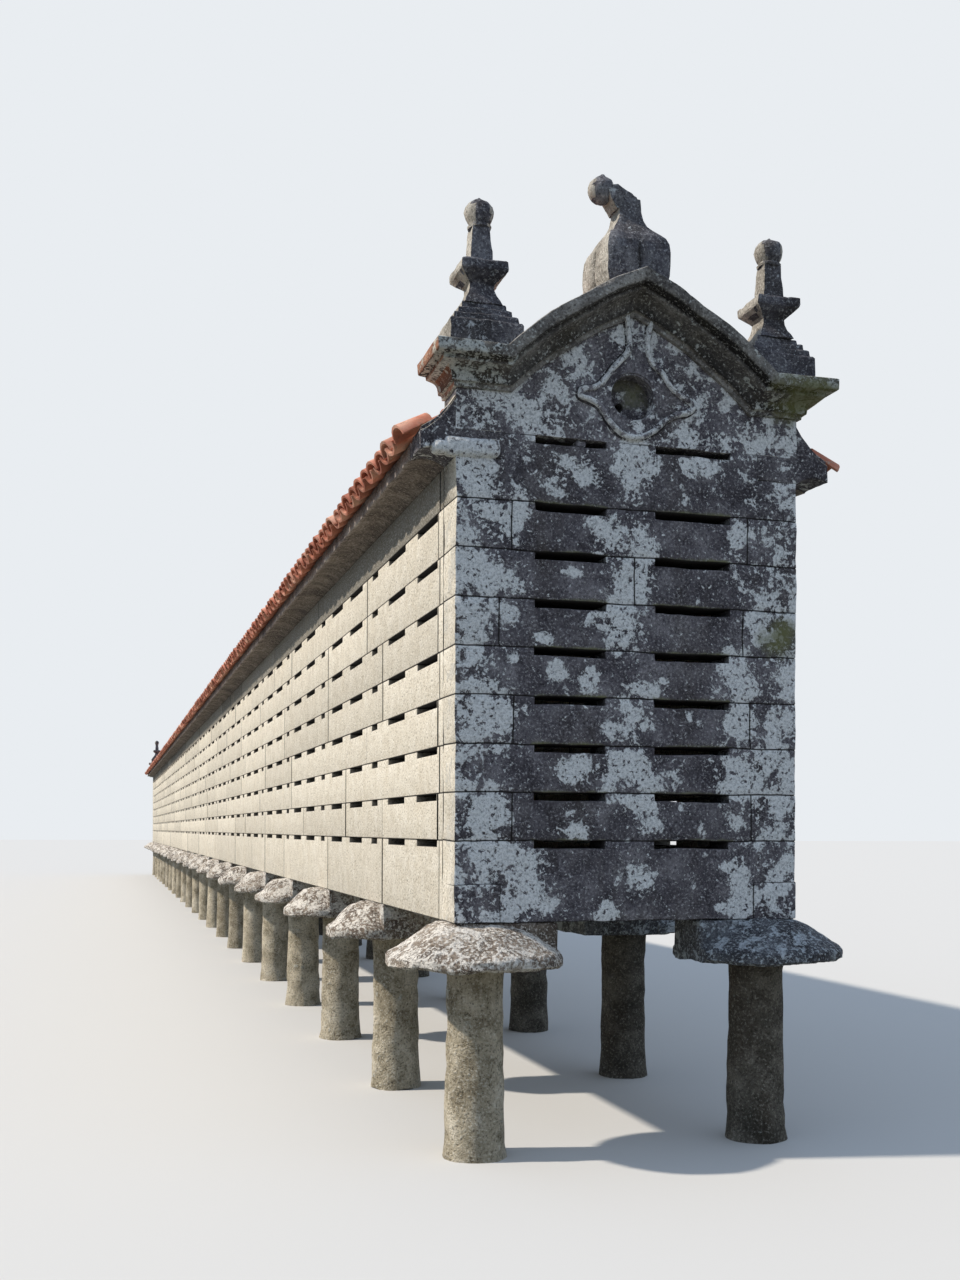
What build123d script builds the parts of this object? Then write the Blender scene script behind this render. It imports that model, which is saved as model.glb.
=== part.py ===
from build123d import *
import os
from math import atan2, cos, degrees, hypot, radians, sqrt, tan

# A long raised granary of granite: a narrow slotted chamber on two rows of columns, each column
# capped by a mushroom stone that keeps rodents out. Both gables end in a curved, moulded pediment
# with corner pinnacles. X runs across the building, Y along it and Z up. The origin lies on the
# ground in the middle of the plan, and the front gable faces -Y. Sizes are in millimetres.

# Chamber
length = 36530
width = 1610
side_wall = 150
gable_wall = 200
joint = 0.3

# Courses of the walls, from the bottom
foot_course = 352
course = 208
slot_rows = 8
band = 177
shoulder_course = 113

# Slots cut into the top edge of each course
side_slot_height = 30
side_slot_start = 318
side_slot_end = 512
side_slot_long = 400
side_slot_gap = 260
side_groups = 20
gable_slot_height = 34
gable_slots = [(-450, -123), (109, 470)]

# Columns
support_pairs = 22
near_bays = [1504, 1775, 1765, 1810, 1770]
column_height = 830
column_foot_width = 248
column_top_width = 226
column_inset = 130
column_sides = 8
corner_column_sides = 12

# Mushroom stones: a block under the wall and a dome outside it
stone_height = 190
stone_reach = 468
stone_width = 500
dome_width = 526
dome_sides = 10
corner_dome_width = 700
corner_dome_sides = 16
dome_rim = 60
dome_rim_share = 0.96
dome_shoulder = 142
dome_shoulder_share = 0.74
dome_crown_share = 0.45

# Floor of the chamber
floor_thickness = 120

# Eaves and roof
eaves_reach = 145
eaves_soffit_rise = 25
eaves_soffit_hollow = 22
eaves_fascia = 60
tile_reach = 250
roof_pitch = 30
tile_bed = 35
tile_spacing = 165
tile_rise = 50
tile_crest_share = 0.36
ridge_width = 180
ridge_rise = 58
ridge_facets = 6

# Corner stones beside the foot of the pediment
shoulder_bearing = 196
shoulder_head_drop = 40
shoulder_hollow = 17

# Pediment and its moulded cornice
pediment_base_width = 1118
pediment_foot = 175
arch_rise = 380
arch_bulge = 30
cornice_height = 150
cornice_reach = 160
cornice_end_reach = 120

# Section of that moulding, as shares of its reach and height: fillet, cove, fillet and fascia
cornice_section = [
    (0.1, 0), (0.1, 0.12), (0.22, 0.12), (0.28, 0.35), (0.42, 0.52),
    (0.66, 0.6), (0.8, 0.6), (0.8, 0.76), (1, 0.76)]

# Blind round window in the pediment, with a small hole in its back
eye_height = 205
eye_diameter = 202
eye_sides = 20
eye_depth = 80
eye_hole_diameter = 40
eye_hole_sides = 8
eye_hole_offset = (-36, -26)

# Flat raised band round the window, with a scroll to each side and an arm up and down
ring_width = 38
ring_relief = 20
ring_gap = 4
scroll_reach = 262
scroll_width = 46
scroll_end_diameter = 74
scroll_end_sides = 8
arm_reach = 222
arm_width = 100
arm_chamfer = 30

# Corner pinnacles
pinnacle_inset = 115
pinnacle_setback = 60
pedestal_width = 320
pedestal_depth = 280
pedestal_height = 121
pedestal_steps = 3
step_height = 30
step_inset = 21
neck_foot_width = 166
neck_width = 110
neck_height = 120
plate_width = 210
plate_height = 60
shaft_foot_width = 100
shaft_top_width = 75
shaft_height = 160
ball_width = 125
ball_height = 120
tip_height = 22

# Central block on the apex, and what is left of the finial that broke off it
finial_width = 310
finial_depth = 330
finial_height = 270
finial_setback = 120
finial_shift = 12
finial_sink = 45
finial_head_width = 200
groove_width = 16
groove_depth = 14
stub_foot_width = 176
stub_waist_width = 130
stub_neck_width = 106
stub_height = 150
elbow_depth = 96
broken_ball_width = 116
broken_ball_height = 116
broken_ball_shift = 118
broken_ball_tilt = 9

# Side view of the bent elbow over that stump, as points of X and Z from the middle of its head
elbow_outline = [(53, 0), (53, 46), (-22, 96), (-80, 100), (-80, 8), (-53, 0)]

# Levels and places that follow from the sizes above
stone_foot = column_height + joint
stone_top = stone_foot + stone_height
chamber_foot = stone_top + joint
slots_top = chamber_foot + foot_course + (slot_rows - 1) * course
band_top = slots_top + band
shoulder_top = band_top + shoulder_course
cornice_foot = shoulder_top + pediment_foot
half_width = width / 2
front_face = -length / 2
gable_back = front_face + gable_wall
side_start = gable_back + joint
side_group_pitch = (length - side_slot_start - side_slot_end) / side_groups
slope = tan(radians(roof_pitch))
plumb_cut = 1 / cos(radians(roof_pitch))
tile_rows = round(-2 * side_start / tile_spacing)
tile_row_width = -2 * side_start / tile_rows
far_bay = (length - stone_width - sum(near_bays)) / (support_pairs - 1 - len(near_bays))

# Each half of the pediment's arch bulges above its chord and is struck from a centre below it
half_span = pediment_base_width / 2
arch_chord = hypot(half_span, arch_rise)
arch_radius = arch_chord ** 2 / 8 / arch_bulge + arch_bulge / 2
arch_centre_x = -half_span / 2 + (arch_radius - arch_bulge) * arch_rise / arch_chord
arch_centre_z = cornice_foot + arch_rise / 2 - (arch_radius - arch_bulge) * half_span / arch_chord


def block(x0, x1, y0, y1, z0, z1):
    """A squared stone between two corners."""
    return Pos((x0 + x1) / 2, (y0 + y1) / 2, (z0 + z1) / 2) * Box(x1 - x0, y1 - y0, z1 - z0)


def across(edges, start, end):
    """The outline that some edges in the plane y = start enclose, carried along Y to the end."""
    return extrude(make_face(edges), amount=end - start, dir=(0, 1, 0))


def chain(points, y):
    """The edges that join points of X and Z in the plane of the given Y."""
    return Polyline([(x, y, z) for x, z in points]).edges()


def opposite(shape):
    """The same stone on the other long side."""
    return mirror(shape, about=Plane.YZ)


def far(shape):
    """The same stone at the back gable."""
    return mirror(shape, about=Plane.XZ)


def regular(sides):
    """A function that draws a regular outline with this many sides, of the width it is given."""
    return lambda size: RegularPolygon(size / 2, sides, major_radius=False)


def oblong(extra):
    """A function that draws a rectangle of the width it is given and deeper by a fixed amount."""
    return lambda size: Rectangle(size, size + extra)


def stacked(outline, levels):
    """Tapering drums, one on another, from a list of heights and widths across flats."""
    shape = None
    for (low, low_width), (high, high_width) in zip(levels, levels[1:]):
        height = high - low
        taper = degrees(atan2(abs(low_width - high_width) / 2, height))
        drum = extrude(outline(max(low_width, high_width)), amount=height, taper=taper)
        if high_width > low_width:
            drum = Pos(0, 0, height) * mirror(drum, about=Plane.XY)
        drum = Pos(0, 0, low) * drum
        shape = drum if shape is None else shape + drum
    return shape


def bowed(start, end, rise, steps=4):
    """Points of X and Z from start to end along a curve that bows by the given rise to its left."""
    run_x, run_z = end[0] - start[0], end[1] - start[1]
    chord = hypot(run_x, run_z)
    points = []
    for i in range(steps + 1):
        share = i / steps
        bow = 4 * rise * share * (1 - share) / chord
        points.append((start[0] + run_x * share - run_z * bow, start[1] + run_z * share + run_x * bow))
    return points


def notched(start, end, foot, top, notches, depth):
    """The outline of one course, with a notch in its top edge for each slot."""
    points = [(start, foot), (end, foot), (end, top)]
    for low, high in sorted(notches, reverse=True):
        points += [(high, top), (high, top - depth), (low, top - depth), (low, top)]
    return points + [(start, top), (start, foot)]


def column(sides):
    """A hand-dressed round column that tapers a little towards its top."""
    return stacked(regular(sides), [(0, column_foot_width), (column_height, column_top_width)])


def dome(size, sides):
    """The domed part of a mushroom stone: an upright rim, then a crown that closes in."""
    return stacked(regular(sides), [
        (0, size * dome_rim_share),
        (dome_rim, size),
        (dome_shoulder, size * dome_shoulder_share),
        (stone_height, size * dome_crown_share)])


def mushroom_stone():
    """A stone of the left row, at Y = 0."""
    half = stone_width / 2
    body = block(-half_width, -half_width + stone_reach, -half, half, 0, stone_height)
    cap = Pos(-half_width, 0, 0) * dome(dome_width, dome_sides)
    outside = block(-half_width - dome_width, -half_width, -dome_width, dome_width, 0, stone_height)
    return Pos(0, 0, stone_foot) * (body + (cap & outside))


def corner_stone():
    """The stone at the front left corner, whose dome wraps round the corner column."""
    inner, back = -half_width + stone_reach, front_face + stone_width
    body = block(-half_width, inner, front_face, back, 0, stone_height)
    over_column = Pos(-half_width + column_inset, front_face + column_inset, 0)
    cap = over_column * dome(corner_dome_width, corner_dome_sides)
    return Pos(0, 0, stone_foot) * (body + cap)


def support_places():
    """Y of each support between the corner ones: uneven bays near the front, then even ones."""
    bays = near_bays + [far_bay] * (support_pairs - 2 - len(near_bays))
    first = front_face + stone_width / 2
    return [first + sum(bays[:i + 1]) for i in range(len(bays))]


def side_slots():
    """Start and end of each long slot along a side wall, two to a group."""
    slots = []
    for group in range(side_groups):
        first = front_face + side_slot_start + group * side_group_pitch
        second = first + side_slot_long + side_slot_gap
        slots += [(first, first + side_slot_long), (second, second + side_slot_long)]
    return slots


def side_courses():
    """The courses of the left wall between the two gables, with a plain band at the top."""
    inner = -half_width + side_wall
    stones = []
    foot = chamber_foot
    for row in range(slot_rows):
        top = chamber_foot + foot_course + row * course
        outline = notched(side_start, -side_start, foot, top - joint, side_slots(), side_slot_height)
        face = make_face(Polyline([(-half_width, y, z) for y, z in outline]))
        stones.append(extrude(face, amount=side_wall, dir=(1, 0, 0)))
        foot = top
    stones.append(block(-half_width, inner, side_start, -side_start, foot, band_top - joint))
    return stones


def gable_courses():
    """The courses of the front wall, up to the foot of the pediment."""
    stones = []
    foot = chamber_foot
    for row in range(slot_rows):
        top = chamber_foot + foot_course + row * course
        outline = notched(-half_width, half_width, foot, top - joint, gable_slots, gable_slot_height)
        stones.append(across(chain(outline, front_face), front_face, gable_back))
        foot = top
    return stones + [top_course(foot)]


def top_course(foot):
    """The last course of the gable, whose middle rises between the two shoulder stones."""
    inner = half_width - shoulder_bearing
    middle = notched(-inner, inner, band_top - joint, shoulder_top - joint, gable_slots, gable_slot_height)
    outline = [(-half_width, foot), (half_width, foot), (half_width, band_top - joint), *middle[1:-1]]
    outline += [(-inner, band_top - joint), (-half_width, band_top - joint), (-half_width, foot)]
    return across(chain(outline, front_face), front_face, gable_back)


def eaves_outline():
    """The left eaves stone from the wall out: its hollow soffit, then its upright fascia."""
    lip = -half_width - eaves_reach
    lip_foot = band_top + eaves_soffit_rise
    soffit = bowed((-half_width, band_top), (lip, lip_foot), -eaves_soffit_hollow)
    return [*soffit, (lip, lip_foot + eaves_fascia)]


def eaves_stone():
    """The moulded stone course under the left eaves, between the gables."""
    outline = eaves_outline()
    lip, lip_top = outline[-1]
    inner = -half_width + side_wall
    outline += [(inner, lip_top + (inner - lip) * slope), (inner, band_top), (-half_width, band_top)]
    return across(chain(outline, side_start), side_start, -side_start)


def shoulder_stone():
    """The kneeler at the front left corner, with a raking, hollow top under the cornice."""
    outline = eaves_outline()
    wall, inner = -half_width - joint, -half_width + shoulder_bearing - joint
    rake = bowed(outline[-1], (wall, cornice_foot - shoulder_head_drop), -shoulder_hollow)
    bearing = shoulder_top - joint
    outline += [*rake[1:], (wall, bearing), (inner, bearing), (inner, band_top), (-half_width, band_top)]
    return across(chain(outline, front_face), front_face, gable_back)


def arch_level(x, offset):
    """Height of the left half of the arch at X, when the arch is moved outwards."""
    return arch_centre_z + sqrt((arch_radius + offset) ** 2 - (x - arch_centre_x) ** 2)


def arch_edges(offset, y, side):
    """The arch moved outwards, with level runs from its feet out to -side and side."""
    foot_z = cornice_foot + offset
    foot_x = arch_centre_x - sqrt((arch_radius + offset) ** 2 - (foot_z - arch_centre_z) ** 2)
    foot = (foot_x, y, foot_z)
    middle = (foot_x / 2, y, arch_level(foot_x / 2, offset))
    left = [Line((-side, y, foot_z), foot), ThreePointArc(foot, middle, (0, y, arch_level(0, offset)))]
    return left + [mirror(edge, about=Plane.YZ) for edge in left]


def pediment():
    """The gable stone under the cornice, with the blind round window sunk into its face."""
    foot = cornice_foot - joint
    base = [(-half_width, foot), (-half_width, shoulder_top), (half_width, shoulder_top), (half_width, foot)]
    edges = arch_edges(-joint, front_face, half_width) + chain(base, front_face)
    stone = across(edges, front_face, gable_back)
    centre = Pos(0, front_face, shoulder_top + eye_height) * Rot(90, 0, 0)
    eye = extrude(centre * regular(eye_sides)(eye_diameter), amount=eye_depth, dir=(0, 1, 0))
    hole_outline = centre * Pos(*eye_hole_offset) * regular(eye_hole_sides)(eye_hole_diameter)
    return stone - eye - extrude(hole_outline, amount=gable_wall, dir=(0, 1, 0))


def window_surround():
    """The band round the blind window, flowing into a scroll at each side and an arm up and down."""
    outer = eye_diameter / 2 + ring_width
    reach = scroll_reach - scroll_end_diameter / 2
    with BuildSketch() as sketch:
        RegularPolygon(outer, eye_sides)
        Rectangle(2 * reach, scroll_width)
        Rectangle(arm_width, 2 * arm_reach)
        inner_corners = sketch.vertices().filter_by(lambda corner: hypot(corner.X, corner.Y) < outer - 0.1)
        chamfer(inner_corners, arm_chamfer)
        with Locations((-reach, 0), (reach, 0)):
            RegularPolygon(scroll_end_diameter / 2, scroll_end_sides)
        RegularPolygon(eye_diameter / 2 + ring_gap, eye_sides, major_radius=False, mode=Mode.SUBTRACT)
    face = Pos(0, front_face - joint, shoulder_top + eye_height) * Rot(90, 0, 0) * sketch.sketch
    return extrude(face, amount=ring_relief, dir=(0, -1, 0)) - above_cornice(-joint) - below_pediment()


def above_cornice(offset):
    """Everything from the arch upwards, which the raised band stops under."""
    y = front_face - 2 * cornice_reach
    side = 2 * half_width
    top = arch_level(0, offset) + arch_rise
    rest = [(-side, cornice_foot + offset), (-side, top), (side, top), (side, cornice_foot + offset)]
    return across(arch_edges(offset, y, side) + chain(rest, y), y, gable_back)


def below_pediment():
    """The courses under the pediment, which the raised band stops over."""
    return block(-half_width, half_width, front_face - cornice_reach, front_face, 0, shoulder_top + joint)


def moulding(reach, behind, place):
    """Section of the cornice: fillet, cove, fillet and an overhanging fascia that runs on upwards."""
    top = arch_rise + 2 * cornice_height
    section = [(out * reach, up * cornice_height) for out, up in cornice_section]
    outline = [(-behind, top), (-behind, 0), *section, (reach, top)]
    return place * make_face(Polyline(outline, close=True))


def cornice():
    """The moulded cornice: level over the corners, then rising over the middle to a blunt point.

    The moulding runs level along the front, round the arch and back along the end. Where two runs
    meet, the stone keeps only what both of them leave, which mitres them.
    """
    outer = half_width + cornice_end_reach
    frontwards = {"x_dir": (0, -1, 0), "z_dir": (-1, 0, 0)}
    start = Plane((-outer, front_face, cornice_foot), **frontwards)
    level = extrude(moulding(cornice_reach, gable_wall, start), amount=outer, dir=(1, 0, 0))
    crown = Plane((arch_centre_x, front_face, arch_centre_z + arch_radius), **frontwards)
    axis = Axis((arch_centre_x, 0, arch_centre_z), (0, 1, 0))
    turn = degrees(atan2(arch_centre_x + outer, cornice_foot - arch_centre_z))
    arched = revolve(moulding(cornice_reach, gable_wall, crown), axis, -turn)
    corner = Plane((-half_width, front_face - cornice_reach, cornice_foot), x_dir=(-1, 0, 0), z_dir=(0, 1, 0))
    end_section = moulding(cornice_end_reach, half_width, corner)
    end = extrude(end_section, amount=cornice_reach + gable_wall, dir=(0, 1, 0))
    left = (level & arched & end) - above_cornice(cornice_height)
    return left + opposite(left)


def pedestal():
    """The block and its stepped top under the front left pinnacle."""
    foot = cornice_foot + cornice_height + joint
    half_x, half_y = pedestal_width / 2, pedestal_depth / 2
    shape = block(-half_x, half_x, -half_y, half_y, foot, foot + pedestal_height)
    for step in range(pedestal_steps):
        half_x, half_y = half_x - step_inset, half_y - step_inset
        low = foot + pedestal_height + step * step_height
        shape += block(-half_x, half_x, -half_y, half_y, low, low + step_height)
    place = Pos(-half_width + pinnacle_inset, front_face + pinnacle_setback, 0)
    return place * shape - under_cornice()


def ball(size, height, tip):
    """Heights and widths of a turned ball that ends in a point."""
    return [
        (0, size * 0.58),
        (height * 0.22, size * 0.9),
        (height * 0.55, size),
        (height * 0.88, size * 0.62),
        (height + tip, size * 0.06)]


def pinnacle():
    """A pinnacle cut from one stone: flared neck, square plate, tapering shaft and ball."""
    foot = cornice_foot + cornice_height + pedestal_height + pedestal_steps * step_height + 2 * joint
    plate_foot = neck_height
    shaft_foot = plate_foot + plate_height
    ball_foot = shaft_foot + shaft_height
    square_part = stacked(oblong(0), [
        (0, neck_foot_width),
        (neck_height * 0.4, neck_width),
        (neck_height * 0.7, neck_width),
        (plate_foot, plate_width * 0.8),
        (plate_foot + plate_height / 2, plate_width),
        (shaft_foot, plate_width * 0.94)])
    shaft = stacked(oblong(0), [(shaft_foot, shaft_foot_width), (ball_foot, shaft_top_width)])
    knob = Pos(0, 0, ball_foot) * stacked(regular(8), ball(ball_width, ball_height, tip_height))
    place = Pos(-half_width + pinnacle_inset, front_face + pinnacle_setback, foot)
    return place * (square_part + shaft + knob)


def finial_block():
    """The bulging square block on the apex, grooved down its front and back."""
    foot = arch_level(0, cornice_height) - finial_sink
    body = stacked(oblong(finial_depth - finial_width), [
        (0, finial_width * 0.84),
        (finial_height * 0.3, finial_width),
        (finial_height * 0.7, finial_width * 0.97),
        (finial_height * 0.9, finial_width * 0.84),
        (finial_height, finial_head_width)])
    deep = finial_depth / 2 - groove_depth
    groove = block(-groove_width / 2, groove_width / 2, deep, finial_depth, 0, finial_height)
    body = body - groove - mirror(groove, about=Plane.XZ)
    return Pos(finial_shift, front_face + finial_setback, foot) * body - under_cornice()


def under_cornice():
    """Everything below the top of the cornice, to which the stones that stand on it are cut."""
    y = front_face - 2 * cornice_reach
    side = 2 * half_width
    top = cornice_foot + cornice_height + joint
    rest = [(-side, top), (-side, cornice_foot), (side, cornice_foot), (side, top)]
    edges = arch_edges(cornice_height + joint, y, side) + chain(rest, y)
    return across(edges, y, front_face + 2 * gable_wall)


def broken_finial():
    """What is left of the finial: a drawn-in stump, a bent elbow and a ball slipped over to the left."""
    foot = arch_level(0, cornice_height) - finial_sink + finial_height + joint
    stump = stacked(oblong(0), [
        (0, stub_foot_width),
        (stub_height * 0.3, stub_waist_width),
        (stub_height * 0.6, stub_neck_width),
        (stub_height, stub_neck_width)])
    outline = [(x, stub_height + z) for x, z in elbow_outline]
    elbow = across(chain([*outline, outline[0]], -elbow_depth / 2), -elbow_depth / 2, elbow_depth / 2)
    knob = stacked(regular(8), ball(broken_ball_width, broken_ball_height, tip_height))
    slipped = Pos(-broken_ball_shift, 0, stub_height) * Rot(0, broken_ball_tilt, 0) * knob
    return Pos(0, front_face + finial_setback, foot) * (stump + elbow + slipped)


def roof_edge():
    """X and Z of the lower edge of the left roof slope, clear of the eaves stone's sloping bed."""
    lip_top = band_top + eaves_soffit_rise + eaves_fascia
    seat = lip_top + joint * plumb_cut
    return -half_width - tile_reach, seat - (tile_reach - eaves_reach) * slope


def roof_slope():
    """The left slope of the roof: rows of cover tiles with channels between them, in their bed."""
    edge, foot = roof_edge()
    channel = foot + tile_bed * plumb_cut
    cover = channel + tile_rise * plumb_cut
    crest = tile_row_width * tile_crest_share / 2
    outline = [(side_start, foot), (side_start, channel)]
    for row in range(tile_rows):
        middle = side_start + (row + 0.5) * tile_row_width
        outline += [(middle - crest, cover), (middle + crest, cover), (middle + tile_row_width / 2, channel)]
    outline.append((-side_start, foot))
    end_of_slope = make_face(Polyline([(edge, y, z) for y, z in outline], close=True))
    return extrude(end_of_slope, amount=(-joint - edge) * plumb_cut, dir=(1, 0, slope))


def ridge():
    """The rounded cap over the meeting of the two slopes, bedded on the crests of the tiles."""
    edge, foot = roof_edge()
    half = ridge_width / 2
    crown = foot - edge * slope + (tile_bed + tile_rise + joint) * plumb_cut
    low = crown - half * slope
    y = side_start
    back = bowed((half, low), (-half, low), -ridge_rise - half * slope, ridge_facets)
    return across(chain([(-half, low), (0, crown), *back], y), y, -y)


def floor_slabs():
    """The stone floor of the chamber, one slab to each bay."""
    inner = half_width - side_wall - joint
    bays = support_pairs - 1
    bay = -2 * side_start / bays
    top = chamber_foot + floor_thickness
    starts = [side_start + i * bay for i in range(bays)]
    return [block(-inner, inner, start, start + bay - joint, chamber_foot, top) for start in starts]


def write(name, solids):
    """One STEP file for each node, of one solid or several."""
    shape = solids[0] if len(solids) == 1 else Compound(children=solids)
    export_step(shape, f"parts/{name}.step")


def build():
    """Every node of the granary. The left and front pieces are modelled, the others mirrored."""
    os.makedirs("parts", exist_ok=True)
    column_x = -half_width + column_inset
    plain_column, plain_stone = column(column_sides), mushroom_stone()
    corner_column = Pos(column_x, front_face + column_inset, 0) * column(corner_column_sides)
    columns = [Pos(column_x, y, 0) * plain_column for y in support_places()]
    side = {
        "columns": [corner_column, *columns, far(corner_column)],
        "mushroom_stones": [Pos(0, y, 0) * plain_stone for y in support_places()],
        "side_wall": side_courses(),
        "eaves_cornice": [eaves_stone()],
        "roof_slope": [roof_slope()],
    }
    corners = {
        "corner_stone": corner_stone(),
        "shoulder_stone": shoulder_stone(),
        "pinnacle_base": pedestal(),
        "pinnacle": pinnacle(),
    }
    gable = {
        "wall": gable_courses(),
        "pediment": [pediment()],
        "pediment_cornice": [cornice()],
        "window_surround": [window_surround()],
        "finial_block": [finial_block()],
        "broken_finial": [broken_finial()],
    }
    for name, solids in side.items():
        write(f"left_{name}", solids)
        write(f"right_{name}", [opposite(solid) for solid in solids])
    for name, solid in corners.items():
        write(f"front_left_{name}", [solid])
        write(f"front_right_{name}", [opposite(solid)])
        write(f"back_left_{name}", [far(solid)])
        write(f"back_right_{name}", [far(opposite(solid))])
    for name, solids in gable.items():
        write(f"front_{name}", solids)
        write(f"back_{name}", [far(solid) for solid in solids])
    write("floor_slabs", floor_slabs())
    write("roof_ridge", [ridge()])


build()
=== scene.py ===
from math import copysign, cos, hypot, pi, radians, sin, sqrt, tan
from random import Random

import bmesh
import bpy
from bmesh.types import BMEdge, BMFace, BMVert
from mathutils import Matrix, Vector, noise


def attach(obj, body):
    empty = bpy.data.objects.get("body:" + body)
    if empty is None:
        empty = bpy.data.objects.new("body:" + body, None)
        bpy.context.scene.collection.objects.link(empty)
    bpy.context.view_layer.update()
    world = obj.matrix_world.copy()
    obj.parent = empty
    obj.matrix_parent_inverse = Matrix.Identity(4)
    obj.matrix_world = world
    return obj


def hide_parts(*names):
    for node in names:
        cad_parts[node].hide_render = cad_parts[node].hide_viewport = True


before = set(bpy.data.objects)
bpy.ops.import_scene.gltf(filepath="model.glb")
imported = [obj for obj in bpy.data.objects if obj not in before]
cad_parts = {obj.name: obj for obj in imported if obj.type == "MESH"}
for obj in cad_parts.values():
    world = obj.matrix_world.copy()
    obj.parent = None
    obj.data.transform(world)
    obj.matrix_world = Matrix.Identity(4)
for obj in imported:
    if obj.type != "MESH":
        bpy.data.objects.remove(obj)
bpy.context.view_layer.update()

# The camera stands at eye height in front of the left corner. It is held level, with its lens
# shifted up so that the upright edges stay upright.
camera = bpy.data.objects.new("camera", bpy.data.cameras.new("camera"))
camera.data.sensor_width = 36
camera.data.lens = 37.17
camera.data.shift_y = 0.1485
camera.data.clip_end = 400
camera.location = (-2.229, -23.676, 1.4176)
camera.rotation_euler = (radians(90), radians(-0.221), radians(-15.855))
bpy.context.scene.collection.objects.link(camera)
bpy.context.scene.camera = camera


# A plain pale floor and a plain pale backdrop. One broad lamp stands far off to the left, so the
# long wall is bright and the gable lies in soft open shade.
def linear(code):
    """An sRGB hex colour as the linear colour that shaders take."""
    parts = [int(code[i:i + 2], 16) / 255 for i in (1, 3, 5)]
    return [c / 12.92 if c <= 0.04045 else ((c + 0.055) / 1.055) ** 2.4 for c in parts] + [1]


def add(tree, kind, sockets=None, out=0, **settings):
    """Adds a node with its settings and gives the output out.

    sockets gives each input its value, its hex colour or the output that feeds it.
    """
    made = tree.nodes.new("ShaderNode" + kind)
    for name, value in settings.items():
        setattr(made, name, value)
    for key, value in (sockets or {}).items():
        if isinstance(value, bpy.types.NodeSocket):
            tree.links.new(value, made.inputs[key])
        else:
            made.inputs[key].default_value = linear(value) if isinstance(value, str) else value
    return made.outputs[out] if made.outputs else None


def empty_tree(owner):
    """The node tree of a material or world, with nothing in it."""
    owner.use_nodes = True
    owner.node_tree.nodes.clear()
    return owner.node_tree


def looked_at(tree):
    """1 for rays that look at a thing, straight or through a mirror or glass, and 0 for its light."""
    rays = add(tree, "LightPath").node.outputs
    seen = rays["Is Camera Ray"]
    for other in ("Is Glossy Ray", "Is Transmission Ray"):
        seen = add(tree, "Math", {0: seen, 1: rays[other]}, operation="MAXIMUM")
    return seen


bpy.context.scene.view_settings.view_transform = "Standard"
surroundings = bpy.data.worlds.new("pale_surroundings")
bpy.context.scene.world = surroundings
tree = empty_tree(surroundings)
lighting = add(tree, "Background", {"Color": "#cfe2fb", "Strength": 0.63})
backdrop = add(tree, "Background", {"Color": "#e9edf1", "Strength": 1.0})
either = add(tree, "MixShader", {0: looked_at(tree), 1: lighting, 2: backdrop})
add(tree, "OutputWorld", {"Surface": either})

lamp = bpy.data.objects.new("key_lamp", bpy.data.lights.new("key_lamp", "SUN"))
lamp.data.energy = 3.4
lamp.data.angle = radians(2)
lamp.data.color = linear("#fff5e6")[:3]
lamp.rotation_euler = (radians(-8), radians(-47), 0)
bpy.context.scene.collection.objects.link(lamp)

# The floor is pale to look at, but sends back little light onto the undersides
floor_half = 150
plaster = bpy.data.materials.new("pale_plaster_floor")
tree = empty_tree(plaster)
shade = add(tree, "Mix", {0: looked_at(tree), 6: "#75746a", 7: "#dcdbd9"}, out=2, data_type="RGBA")
add(tree, "OutputMaterial", {"Surface": add(tree, "BsdfDiffuse", {"Color": shade})})
bm = bmesh.new()
bmesh.ops.create_grid(bm, x_segments=1, y_segments=1, size=floor_half)
floor = bpy.data.objects.new("studio_floor", bpy.data.meshes.new("studio_floor"))
bm.to_mesh(floor.data)
bm.free()
floor.data.materials.append(plaster)
bpy.context.scene.collection.objects.link(floor)


# The columns: round shafts of granite about a quarter of a metre thick, dressed by hand with a
# point, so they are a little lumpy. They stand in two rows and carry the mushroom stones.
metre = 1000  # in millimetres, the unit of all patterns and of the dressing


def mottled(tree, pattern, shares, colours, strength):
    """Three colours at three shares of a pattern, made darker or paler by the tone of each stone."""
    ramp = add(tree, "ValToRGB", {"Fac": pattern})
    stops = ramp.node.color_ramp.elements
    stops.new(shares[1])
    for stop, share, colour in zip(stops, shares, colours):
        stop.position = share
        stop.color = linear(colour)
    tone = add(tree, "Attribute", out="Fac", attribute_name="tone")
    value = add(tree, "Math", {0: tone, 1: strength, 2: 1.0}, operation="MULTIPLY_ADD")
    return add(tree, "HueSaturation", {"Color": ramp, "Value": value})


def tinted(tree, body, *tints):
    """Lays tints over a colour, each where its pattern passes from low to high, up to an amount."""
    for pattern, low, high, amount, colour in tints:
        share = add(tree, "MapRange", {
            "Value": pattern, "From Min": low, "From Max": high, "To Max": amount})
        body = add(tree, "Mix", {0: share, 6: body, 7: colour}, out=2, data_type="RGBA")
    return body


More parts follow.
